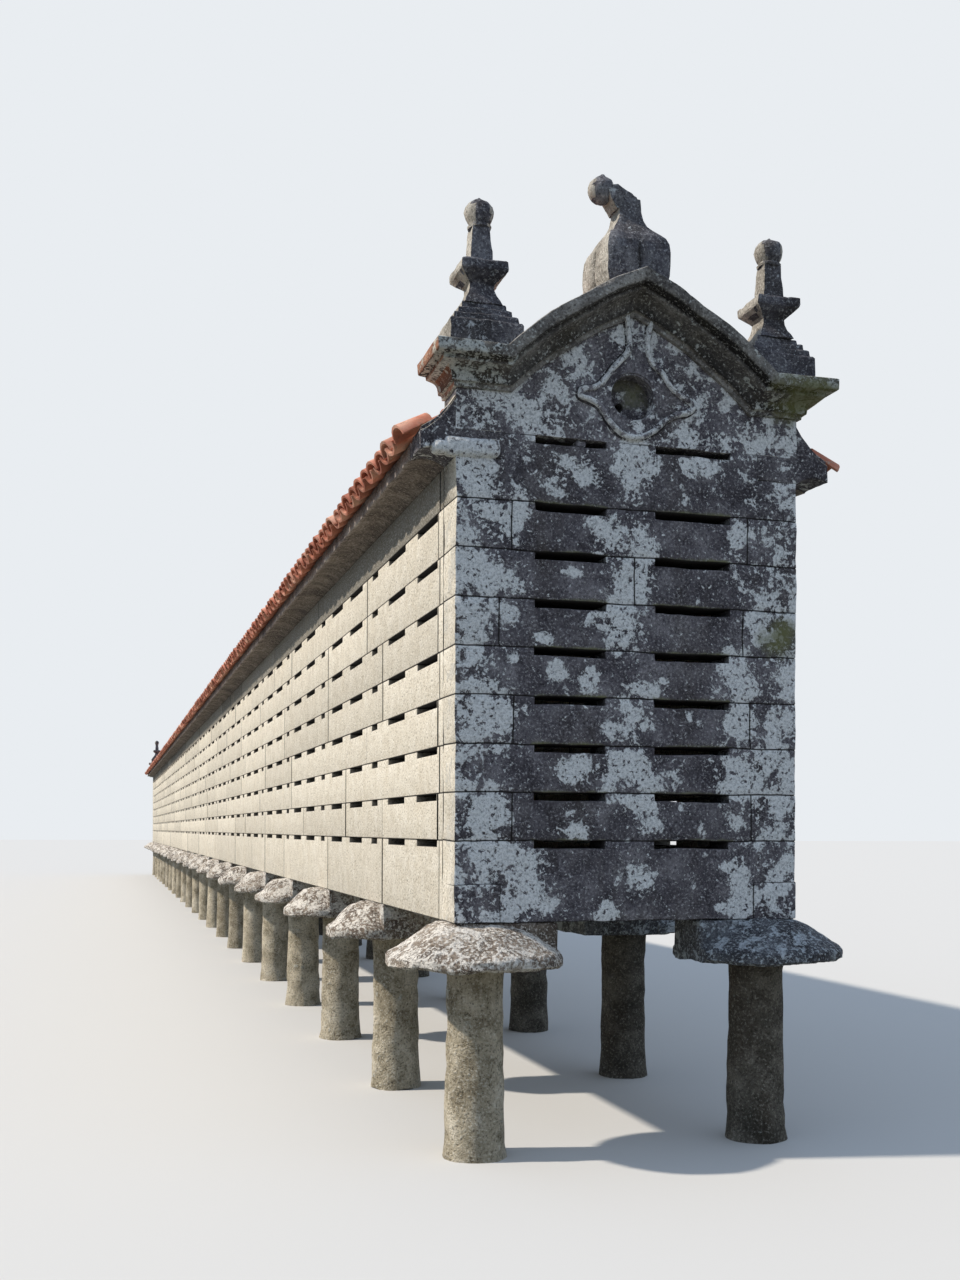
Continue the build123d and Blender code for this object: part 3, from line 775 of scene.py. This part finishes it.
def eaves_stones():
    """The stones of the left eaves, from gable to gable, with the fascia darkened as painted shade and the
    foot of the lip made paler as painted sunlight.
    """
    lip_top = band_top + lip_foot + fascia
    inner = -half_width + side_thickness
    outline = [*eaves_outline(), (inner, lip_top + (inner - eaves_lip) * roof_slope), (inner, band_top)]
    stones = []
    start = -side_start

    # Painted shade on the fascia under the tiles, and painted sunlight on a strip at the foot of the lip
    def painted_lip_shade_and_light(place):
        return (place.x < eaves_lip + 0.02) * (2 if place.z < band_top + lip_foot + 0.014 else -1.5)

    while start < side_start:
        end = start + chance.uniform(*eaves_stone_lengths)
        if side_start - end < least_eaves_stone:
            end = side_start
        stone = prism(outline, start, end)
        sliced(stone, 1, spread(start, end, 0.1 if start < -10 else 0.3))
        soften(stone, 6, 1)
        roughen(stone, (140, 7))
        mark(stone, "tone", painted_lip_shade_and_light)
        stones.append(stone)
        start = end
    return stones


def lichened_nose():
    """The end of the stone under the left kneeler, which stands proud in two rounded lumps."""
    lumps = []
    for low_x, high_x, low_z, high_z in nose_lumps:
        lump = block((low_x, -half_length - nose_reach, low_z), (high_x, -half_length + 0.05, high_z))
        soften(lump, 26, 4)
        sliced(lump, 0, spread(low_x, high_x, 0.02))
        lumps.append(lump)
    return lumps


def kneeler():
    """The front left kneeler, with a raking hollow top."""
    wall, inner = -half_width, -half_width + kneeler_bearing
    outline = eaves_outline()
    rake = bowed(outline[-1], (wall, kneeler_head), -rake_hollow)
    outline += [*rake[1:], (wall, shoulder_top), (inner, shoulder_top), (inner, band_top)]
    stone = prism(outline, -half_length, -half_length + gable_thickness, 0.035)
    verge = prism(verge_outline, -half_length + verge_face, -half_length + verge_back, 0.035)
    for part in (stone, verge):
        soften(part, 6, 2)
    return stone, verge


for side, axes in sides:
    bm = bmesh.new()
    for stone in eaves_stones():
        lay(bm, stone, chance.uniform(-0.3, 0.3))
    piece(mirrored(bm, *axes), f"{side}_moulded_eaves", [shade_darkened_eaves_granite], [f"{side}_eaves_cornice"])
for end, side, axes in corners:
    bm = bmesh.new()
    noses = lichened_nose() if side == "left" else []
    for stone in (*kneeler(), *noses):
        roughen(stone, (120, 6), (35, 3))
        least, most, tone = (1, 1, 0.5) if stone in noses else (0, 0.15, -0.6)
        encrust(stone, least, most)
        lay(bm, stone, tone)
    # Painted sunlight: the upward faces of the top take the pale stone
    second_material(bm, lambda middle, way: way.z > 0.35 and middle.z > rake_foot)
    piece(mirrored(bm, *axes), f"{end}_{side}_kneeler", [gable_granite, pale_granite],
          [f"{end}_{side}_shoulder_stone"])


# The pediment: one big stone over the top slots, cut to the curve of the arch, with a blind round
# window sunk in it. A small dark hole goes on through its back.
half_span, arch_rise, arch_bulge = 0.559, 0.38, 0.03
arch_chord = hypot(half_span, arch_rise)
arch_radius = arch_chord ** 2 / 8 / arch_bulge + arch_bulge / 2
arch_centre = Vector((-half_span / 2 + (arch_radius - arch_bulge) * arch_rise / arch_chord,
                      cornice_foot + arch_rise / 2 - (arch_radius - arch_bulge) * half_span / arch_chord))
pediment_height = 0.56
eye = Vector((0, shoulder_top + 0.205))
eye_radius, eye_depth = 0.101, 0.08
hole, hole_radius = Vector((-0.036, -0.026)), 0.02


def arch_point(x):
    """The point of the left half of the arch at X."""
    return Vector((x, arch_centre.y + sqrt(arch_radius ** 2 - (x - arch_centre.x) ** 2)))


def round_hole(centre, radius, steps=32):
    """Points of X and Z round a circle."""
    angles = [2 * pi * i / steps for i in range(steps)]
    return [centre + Vector((cos(angle), sin(angle))) * radius for angle in angles]


def pierced(outline, opening, y_start, y_end):
    """A plate with an opening in it, from their outlines in X and Z."""
    part = bmesh.new()
    for loop in (outline, opening):
        rim = [part.verts.new((x, y_start, z)) for x, z in loop]
        for pair in zip(rim, rim[1:] + rim[:1]):
            part.edges.new(pair)
    bmesh.ops.triangle_fill(part, edges=part.edges, use_beauty=True)
    draw_out(part, part.faces[:], (0, y_end - y_start, 0), keep=True)
    bmesh.ops.recalc_face_normals(part, faces=part.faces)
    return part


def pediment_stones():
    """The face of the front pediment with the window in it, and the back of the same stone."""
    left = [Vector((-half_width, shoulder_top)), Vector((-half_width, cornice_foot))]
    left += [arch_point(-half_span * (1 - i / 12)) for i in range(13)]
    outline = left + [Vector((-x, z)) for x, z in reversed(left[:-1])]
    face, wall = -half_length, -half_length + eye_depth
    front = pierced(outline, round_hole(eye, eye_radius), face, wall)
    back = pierced(outline, round_hole(eye + hole, hole_radius, 12), wall, -half_length + gable_thickness)
    for stone in (front, back):
        sliced(stone, 0, spread(-half_width, half_width, 0.05))
        sliced(stone, 2, spread(shoulder_top, shoulder_top + pediment_height, 0.05))
        roughen(stone, (160, 5), (40, 3))
    return front, back


for end, axes in ends:
    bm = bmesh.new()
    for stone in pediment_stones():
        encrust(stone, 0.36)
        lichen, moss = (stone.verts.layers.float[name] for name in ("lichen", "moss"))
        for v in stone.verts:
            if v.co.y > -half_length + 0.03:
                v[lichen], v[moss] = 0, 0.6
        lay(bm, stone, 0.6)
    piece(mirrored(bm, *axes), f"{end}_arched_pediment", [gable_granite], [f"{end}_pediment"])


# The surround of the window: a raised band with a roll along its edge, in a hollow, carved on the
# pediment. The roll is made pale, partly with lichen and partly as a painted highlight, and the
# hollow is darkened as painted shade. The surround flows out into a hook at each side and runs up
# into the point of the arch.
roll_path = (
    (-0.036, 0.36), (-0.022, 0.28), (-0.02, 0.19), (-0.09, 0.13), (-0.14, 0.055), (-0.18, 0.022),
    (-0.25, 0.012), (-0.252, -0.022), (-0.2, -0.03), (-0.155, -0.05), (-0.12, -0.115), (-0.06, -0.168),
    (0.005, -0.184), (0.08, -0.158), (0.145, -0.095), (0.205, -0.062), (0.27, -0.046), (0.29, -0.016),
    (0.25, 0.01), (0.18, 0.048), (0.145, 0.105), (0.09, 0.15), (0.064, 0.195), (0.066, 0.28), (0.082, 0.34))
roll_radius, hollow_radius, band_relief = 0.013, 0.026, 0.006
# How far the middle of the roll stands proud of the face, and that of the hollow lies behind it
roll_proud, hollow_sunk = 0.01, 0.017


def roll(points, radius, y):
    """A round roll along a smooth line, closed at both ends."""
    line = bpy.data.curves.new("roll", "CURVE")
    line.dimensions = "3D"
    spline = line.splines.new("NURBS")
    spline.points.add(len(points) - 1)
    for point, (x, z) in zip(spline.points, points):
        point.co = (x, y, z, 1)
    spline.order_u = 3
    spline.use_endpoint_u = True
    spline.resolution_u = 5
    line.bevel_depth = radius
    line.bevel_resolution = 2
    line.use_fill_caps = True
    holder = bpy.data.objects.new("roll", line)
    part = bmesh.new()
    part.from_mesh(bpy.data.meshes.new_from_object(holder))
    bpy.data.objects.remove(holder)
    bmesh.ops.recalc_face_normals(part, faces=part.faces)
    return part


def window_surround():
    """The band, the hollow and the roll, on the front pediment."""
    points = [eye + Vector(point) for point in roll_path]
    face = -half_length
    band = pierced(points[1:-1], round_hole(eye, eye_radius + 0.006), face - band_relief, face + 0.004)
    hollow = roll(points, hollow_radius, face + hollow_sunk)
    return band, hollow, roll(points, roll_radius, face - roll_proud)


for end, axes in ends:
    bm = bmesh.new()
    # The hollow is darkened as painted shade, and the roll made paler as a painted highlight
    for stone, tone, lichen in zip(window_surround(), (0.1, -2.2, 1.6), (0.2, 0, 0.55)):
        roughen(stone, (45, 3))
        encrust(stone, lichen)
        lay(bm, stone, tone)
    piece(mirrored(bm, *axes), f"{end}_flowing_window_surround", [gable_granite],
          [f"{end}_window_surround"])


# The cornice: a deep moulding that returns along the sides, runs level over the corners and then
# rises over the arch to a blunt point. Its top edges are worn and moss tints it in places. Its
# hollows are darkened as painted shade, and its arrises made paler as painted highlight.
cornice_reach, return_reach = 0.16, 0.12
cornice_section = (
    (-0.19, 0), (0.016, 0), (0.02, 0.018), (0.038, 0.02), (0.04, 0.032), (0.044, 0.05), (0.053, 0.062),
    (0.068, 0.07), (0.092, 0.075), (0.112, 0.078), (0.113, 0.094), (0.154, 0.095), (0.16, 0.1),
    (0.16, 0.146), (0.152, 0.15), (0.1, 0.153), (0, 0.153), (-0.19, 0.15))
# Painted shade darkens the hollows of the section, and painted highlight makes its arrises paler
cornice_shade_and_highlight_tones = (0, 1.2, 1.4, -2.2, -1.8, -1, -0.6, -0.2, 0.6, 1.4, -2.6, -2.4, 0.6, 1, 1.6, 0, 0, 0)
# Dark grey stone with small pale crusts, and at the sides the same stone stained by rust
cornice_granite = granite(
    "mossy_cornice_granite", ("#504e4e", "#75726f", "#9e9b97"), ("#292726", "#dcdad5"),
    ("#9da19f", "#d6d9d6"), 0.04, 60, "#5a5546", 0.4, relief=8)
return_granite = granite(
    "rust_stained_return_granite", ("#6e4a3c", "#9c7059", "#c49c84"), ("#4a342c", "#dcc3b2"),
    ("#a09a90", "#cdc6ba"), -0.03, 60, "#80503c", 0.6, relief=8)


def cornice_stations():
    """Frames along the left half of the moulding: its foot on the wall, and its ways out and up."""
    end = return_reach / cornice_reach
    back, front = -half_length + gable_thickness, -half_length
    corner = Vector((-half_width, front, cornice_foot))
    up = Vector((0, 0, 1))
    stations = [(Vector((-half_width, y, cornice_foot)), Vector((-end, 0, 0)), up)
                for y in (back, back - 0.05, back - 0.1, back - 0.15)]
    stations.append((corner, Vector((-end, -1, 0)), up))
    out = Vector((0, -1, 0))
    for i in range(1, 9):
        x = -half_width + (half_width - half_span) * i / 9
        stations.append((Vector((x, front, cornice_foot)), out, up))
    steps = 26
    for i in range(steps + 1):
        x, z = arch_point(-half_span * (1 - i / steps))
        away = Vector((x - arch_centre.x, 0, z - arch_centre.y)).normalized()
        if i == 0:
            away = (away + up).normalized() / cos(away.angle(up) / 2)
        if i == steps:
            away = up / away.z
        stations.append((Vector((x, front, z)), out, away))
    return stations


def swept(section, stations):
    """A moulding whose section, points out and up, is carried from station to station."""
    part = bmesh.new()
    tone = part.verts.layers.float.new("tone")
    rim = [part.verts.new((0, out, up)) for out, up in section]
    # The painted shade and painted highlight of the section, point by point
    for v, value in zip(rim, cornice_shade_and_highlight_tones):
        v[tone] = value
    loop = [part.edges.new(pair) for pair in zip(rim, rim[1:] + rim[:1])]
    bmesh.ops.contextual_create(part, geom=loop)
    before = Matrix.Identity(4)
    for i, (foot, out, up) in enumerate(stations):
        if i:
            grown = bmesh.ops.extrude_edge_only(part, edges=loop)
            rim, loop = fresh(grown, BMVert), fresh(grown, BMEdge)
        along = out.cross(up)
        here = Matrix((along, out, up)).transposed().to_4x4()
        here.translation = foot
        bmesh.ops.transform(part, matrix=here @ before.inverted(), verts=rim)
        before = here
    bmesh.ops.contextual_create(part, geom=loop)
    bmesh.ops.recalc_face_normals(part, faces=part.faces)
    return part


for end, axes in ends:
    bm = bmesh.new()
    left = swept(cornice_section, cornice_stations())
    refine(left, 0.045, 1)
    for half, tone in ((mirrored(left, 0), -0.7), (left, 0)):
        roughen(half, (150, 6), (28, 2))
        encrust(half)
        lay(bm, half, tone)
    second_material(bm, lambda middle, way: abs(middle.x) > half_width and abs(way.x) > 0.3)
    piece(mirrored(bm, *axes), f"{end}_arched_cornice", [cornice_granite, return_granite],
          [f"{end}_pediment_cornice"], 60)


# The corner pinnacles: a block with a stepped top, and on it one turned and squared stone with a
# flared neck, a square plate, a tapering shaft and a pointed ball.
pinnacle_x, pinnacle_y = -0.69, -half_length + 0.06
pedestal_levels = (
    (3.4439, 0.314, 0.274), (3.45, 0.32, 0.28), (3.556, 0.318, 0.278), (3.5649, 0.304, 0.264),
    (3.565, 0.286, 0.246), (3.59, 0.28, 0.24), (3.595, 0.268, 0.228), (3.596, 0.244, 0.204),
    (3.62, 0.238, 0.198), (3.625, 0.224, 0.184), (3.626, 0.202, 0.162), (3.65, 0.194, 0.154),
    (3.655, 0.184, 0.144))
# Heights above the pedestal and widths of the square part
neck_levels = (
    (0, 0.166), (0.02, 0.15), (0.045, 0.124), (0.07, 0.108), (0.09, 0.106), (0.1, 0.124), (0.118, 0.166),
    (0.136, 0.204), (0.145, 0.21), (0.172, 0.207), (0.18, 0.192), (0.182, 0.118), (0.188, 0.1), (0.26, 0.088),
    (0.342, 0.076))
knob_profile = (
    (0, 0), (0.036, 0), (0.05, 0.005), (0.053, 0.015), (0.043, 0.023), (0.052, 0.036), (0.061, 0.056),
    (0.064, 0.076), (0.059, 0.096), (0.046, 0.114), (0.027, 0.126), (0.012, 0.134), (0.004, 0.141),
    (0, 0.142))
# Dark grey stone with small crusts, and the same stone paler where the sun reaches it: partly bleached,
# partly painted sunlight
pinnacle_granite = granite(
    "weathered_pinnacle_granite", ("#3f3e44", "#5b5a61", "#86868b"), ("#232227", "#c8c8cb"),
    ("#94979b", "#c9cdd0"), 0.04, 45, "#4b4844", 0.5, relief=8)
bleached_and_sunlit_pinnacle_granite = granite(
    "bleached_and_painted_sunlit_pinnacle_granite", ("#8f8980", "#b3ada3", "#d4cec3"), ("#45403b", "#efe9df"),
    ("#aaa9a3", "#d8d7d0"), 0.0, 45, "#7d776b", 0.5, relief=8)


def squared(levels, centre):
    """A squared stone drawn up through its levels: heights with widths across and deep."""
    part = bmesh.new()
    height, wide, deep = levels[0]
    ring = bmesh.ops.create_grid(part, x_segments=4, y_segments=4, size=0.5)["verts"]
    lowest = Matrix.Translation((*centre, height)) @ Matrix.Diagonal((wide, deep, 1, 1))
    bmesh.ops.transform(part, matrix=lowest, verts=ring)
    top = part.faces[:]
    for i, ((_, wide, deep), (height, new_wide, new_deep)) in enumerate(zip(levels, levels[1:])):
        grown = bmesh.ops.extrude_face_region(part, geom=top, use_keep_orig=i == 0)
        top, ring = fresh(grown, BMFace), fresh(grown, BMVert)
        home = Matrix.Translation((-centre[0], -centre[1], -ring[0].co.z))
        size = Matrix.Diagonal((new_wide / wide, new_deep / deep, 1, 1))
        bmesh.ops.transform(part, matrix=Matrix.Translation((*centre, height)) @ size @ home, verts=ring)
    bmesh.ops.recalc_face_normals(part, faces=part.faces)
    return part


def sun(bm):
    """Gives the faces that look along X, which the sun reaches, the second material: paler stone, partly
    bleached and partly painted sunlight.
    """
    second_material(bm, lambda middle, way: abs(way.x) > 0.6)


for i, (end, side, axes) in enumerate(corners):
    bm = bmesh.new()
    centre = (pinnacle_x, pinnacle_y)
    base = squared(pedestal_levels, centre)
    refine(base, 0.05, 2)
    roughen(base, (90, 6), (24, 4), seed=i)
    lay(bm, base, -0.2)
    sun(bm)
    piece(mirrored(bm, *axes), f"{end}_{side}_stepped_pedestal", [pinnacle_granite, bleached_and_sunlit_pinnacle_granite],
          [f"{end}_{side}_pinnacle_base"])
    bm = bmesh.new()
    foot = pedestal_levels[-1][0]
    neck = squared([(foot + z, width, width) for z, width in neck_levels], centre)
    refine(neck, 0.04, 2)
    knob = turned([(r, foot + neck_levels[-1][0] - 0.004 + z) for r, z in knob_profile], 24, centre)
    for stone in (neck, knob):
        roughen(stone, (60, 5), (18, 3), seed=i)
        lay(bm, stone, 0.1)
    sun(bm)
    piece(mirrored(bm, *axes), f"{end}_{side}_carved_pinnacle", [pinnacle_granite, bleached_and_sunlit_pinnacle_granite],
          [f"{end}_{side}_pinnacle"])


# The finial on the point of the arch: a swelling block with two lobes to each face, drawn in to a
# neck. Its top broke and slipped, so the pointed ball hangs over to the left on a bent elbow.
finial_y = -half_length + 0.12
# Heights with half widths across and deep
finial_levels = (
    (3.795, 0.128, 0.138), (3.82, 0.142, 0.152), (3.86, 0.151, 0.163), (3.91, 0.156, 0.169),
    (3.96, 0.156, 0.17), (4.0, 0.15, 0.164), (4.03, 0.137, 0.15), (4.055, 0.115, 0.126),
    (4.08, 0.092, 0.1), (4.105, 0.075, 0.08), (4.135, 0.063, 0.066), (4.17, 0.056, 0.058),
    (4.21, 0.053, 0.054), (4.235, 0.05, 0.052))
groove_head = 4.03
elbow_outline = ((-0.052, 4.18), (0.02, 4.175), (0.05, 4.185), (0.054, 4.215), (0.045, 4.242), (0.02, 4.258),
                 (-0.02, 4.274), (-0.05, 4.288), (-0.085, 4.285), (-0.088, 4.25), (-0.075, 4.222))
broken_knob_profile = (
    (0, 0.002), (0.018, 0.003), (0.035, 0.01), (0.048, 0.024), (0.056, 0.042), (0.059, 0.06), (0.058, 0.072),
    (0.053, 0.088), (0.041, 0.106), (0.026, 0.118), (0.014, 0.128), (0.005, 0.137), (0, 0.138))
# Where the broken ball starts, how far it leans, and half the depth of the elbow that holds it
ball_x, ball_z, ball_lean = -0.118, 4.212, radians(9)
elbow_half = 0.052


def lobed(levels, centre):
    """A stone of rounded square section, with grooves down the middle of its faces, darkened as painted
    shade.
    """
    part = bmesh.new()
    tone = part.verts.layers.float.new("tone")
    bmesh.ops.create_circle(part, cap_ends=True, segments=56, radius=1)
    ring = part.verts[:]
    top = part.faces[:]
    for i, (height, wide, deep) in enumerate(levels):
        if i:
            grown = bmesh.ops.extrude_face_region(part, geom=top, use_keep_orig=i == 1)
            ring, top = fresh(grown, BMVert), fresh(grown, BMFace)
        fade = max(0, min(1, (groove_head - height) / 0.05))
        for v in ring:
            across, along = v.co.x, v.co.y
            if i:
                _, last_wide, last_deep = levels[i - 1]
                across, along = (v.co.x - centre[0]) / last_wide, (v.co.y - centre[1]) / last_deep
            size = hypot(across, along)
            across, along = across / size, along / size
            square = (abs(across) ** 12 + abs(along) ** 12) ** (-1 / 12)
            groove = fade * max(0, 1 - min(abs(across), abs(along)) / 0.13) ** 2
            square *= 1 - 0.07 * groove
            # Painted shade: the vertices in the grooves are darkened
            v[tone] = -2.5 * groove
            v.co = (centre[0] + across * square * wide, centre[1] + along * square * deep, height)
    bmesh.ops.recalc_face_normals(part, faces=part.faces)
    return part


def finial_stones():
    """The front finial: block and neck, the bent elbow, and the ball that hangs from it."""
    block_and_neck = lobed(finial_levels, (0.012, finial_y))
    elbow = prism(elbow_outline, finial_y - elbow_half, finial_y + elbow_half, 0.02)
    soften(elbow, 12, 2)
    knob = turned(broken_knob_profile, 24, (0, 0))
    tilt = Matrix.Translation((ball_x, finial_y, ball_z)) @ Matrix.Rotation(ball_lean, 4, "Y")
    bmesh.ops.transform(knob, matrix=tilt, verts=knob.verts)
    return block_and_neck, elbow, knob


for end, axes in ends:
    bm = bmesh.new()
    for stone in finial_stones():
        roughen(stone, (70, 7), (20, 4))
        lay(bm, stone, -0.1)
    sun(bm)
    piece(mirrored(bm, *axes), f"{end}_lobed_broken_finial", [pinnacle_granite, bleached_and_sunlit_pinnacle_granite],
          [f"{end}_finial_block", f"{end}_broken_finial"])


# The roof: hand-made barrel tiles of red clay in a bed of mortar. Channel tiles lie hollow side up,
# cover tiles lie over the gaps between them, and the lowest row hangs out beyond the eaves.
tile_length, tile_lap, tile_pitch = 0.42, 0.1, 0.165
end_tile_length = 0.15
cover_head, cover_foot = 0.068, 0.084
channel_head, channel_foot = 0.07, 0.088
tile_thickness = 0.012
# How far a bed of tiles reaches up the slope
slope_length = 1.205
# Height of a tile as a share of its half width, and how far the lowest ones stop short of the bed
tile_flatness, tile_setback = 0.68, 0.05
eave_x, eave_z = -1.055, 3.0302
tile_rows = 4
# How high the tiles lie over the bed
cover_lift, channel_lift = 0.034, 0.052


def clay(name):
    """Red clay tile: uneven firing, darkened by algae and dust, with pale lichen spots."""
    material = bpy.data.materials.new(name)
    tree = empty_tree(material)
    place = add(tree, "TexCoord", out="Object")
    firing = add(tree, "TexNoise", {"Vector": place, "Scale": metre / 180, "Detail": 5, "Roughness": 0.6})
    body = mottled(tree, firing, (0.36, 0.5, 0.64), ("#985b4a", "#c68069", "#e6b39c"), 0.35)
    speckle = add(tree, "TexNoise", {"Vector": place, "Scale": metre / 45, "Detail": 6, "Roughness": 0.7})
    body = tinted(tree, body, (speckle, 0.54, 0.66, 0.55, "#4b3a33"), (speckle, 0.36, 0.32, 0.8, "#b9aa97"))
    bump = add(tree, "Bump", {"Strength": 0.7, "Distance": 2 / metre, "Height": speckle})
    shader = add(tree, "BsdfPrincipled", {
        "Base Color": body, "Roughness": 0.85, "Specular IOR Level": 0.3, "Normal": bump})
    add(tree, "OutputMaterial", {"Surface": shader})
    return material


tile_clay = clay("hand_made_clay_tile")


def barrel_tile(foot_radius, head_radius, length, turned_up):
    """One tile lying along X with its lower end at the origin: half a cone, as thick as the clay."""
    part = bmesh.new()
    first = part.verts.new((0, foot_radius, 0))
    bmesh.ops.spin(part, geom=[first], cent=(0, 0, 0), axis=(1, 0, 0), angle=pi, steps=7)
    far_end = fresh(bmesh.ops.extrude_edge_only(part, edges=part.edges[:]), BMVert)
    share = head_radius / foot_radius
    bmesh.ops.scale(part, vec=(1, share, share), verts=far_end)
    bmesh.ops.translate(part, vec=(length, 0, 0), verts=far_end)
    bmesh.ops.scale(part, vec=(1, 1, tile_flatness), verts=part.verts)
    bmesh.ops.recalc_face_normals(part, faces=part.faces)
    bmesh.ops.solidify(part, geom=part.faces[:], thickness=tile_thickness)
    if turned_up:
        bmesh.ops.transform(part, matrix=Matrix.Rotation(pi, 4, "X"), verts=part.verts)
    bmesh.ops.recalc_face_normals(part, faces=part.faces)
    return part


def on_slope(y, foot, lift):
    """The place of a tile on the left slope, by its foot's way up the slope and its lift off it."""
    lean = Matrix.Rotation(-slope_angle, 4, "Y")
    return Matrix.Translation((eave_x, y, eave_z)) @ lean @ Matrix.Translation((foot, 0, lift))


def tiles_of_slope(bm, first_y, last_y):
    """Lays rows of channel and cover tiles up the left slope between two places along the roof."""
    columns = round((last_y - first_y) / tile_pitch)
    pitch = (last_y - first_y) / columns
    for column_number in range(columns + 1):
        for row in range(tile_rows):
            along = row * (tile_length - tile_lap)
            for cover in (False, True):
                if cover and column_number == columns:
                    continue
                radii = (cover_foot, cover_head) if cover else (channel_head, channel_foot)
                length = min(tile_length, slope_length - tile_setback - along)
                tile = barrel_tile(*radii, length, not cover)
                y = first_y + pitch * (column_number + (0.5 if cover else 0)) + chance.uniform(-0.006, 0.006)
                lift = (cover_lift if cover else channel_lift) + 0.008 * (row > 0)
                lift += chance.uniform(-0.003, 0.003)
                twist = Matrix.Rotation(radians(chance.uniform(-1.5, 1.5)), 4, "Z")
                foot = along + tile_setback + chance.uniform(-0.01, 0.01) * (row < 1)
                lay(bm, tile, chance.uniform(-0.7, 0.5), on_slope(y, foot, lift) @ twist)


for side, axes in sides:
    bm = bmesh.new()
    tiles_of_slope(bm, -side_start + 0.06, side_start - 0.06)
    # A short cover tile lies on each kneeler
    for y in (-half_length + 0.1, half_length - 0.1):
        tile = barrel_tile(cover_foot, cover_head, end_tile_length, False)
        lay(bm, tile, 0.2, on_slope(y, tile_setback, cover_lift))
    piece(mirrored(bm, *axes), f"{side}_barrel_tiles", [tile_clay], [f"{side}_roof_slope"], 50)

bm = bmesh.new()
ridge_length, ridge_lap = 0.42, 0.05
ridge_radii, ridge_foot = (0.094, 0.082), 3.7
count = round(2 * side_start / (ridge_length - ridge_lap))
for i in range(count):
    tile = barrel_tile(*ridge_radii, ridge_length, False)
    y = -side_start + i * (2 * side_start - ridge_length) / (count - 1)
    turn = Matrix.Rotation(pi / 2 + radians(chance.uniform(-1, 1)), 4, "Z")
    lay(bm, tile, chance.uniform(-0.6, 0.4), Matrix.Translation((0, y, ridge_foot + 0.006 * (i % 2))) @ turn)
piece(bm, "ridge_tiles", [tile_clay], ["roof_ridge"], 50)
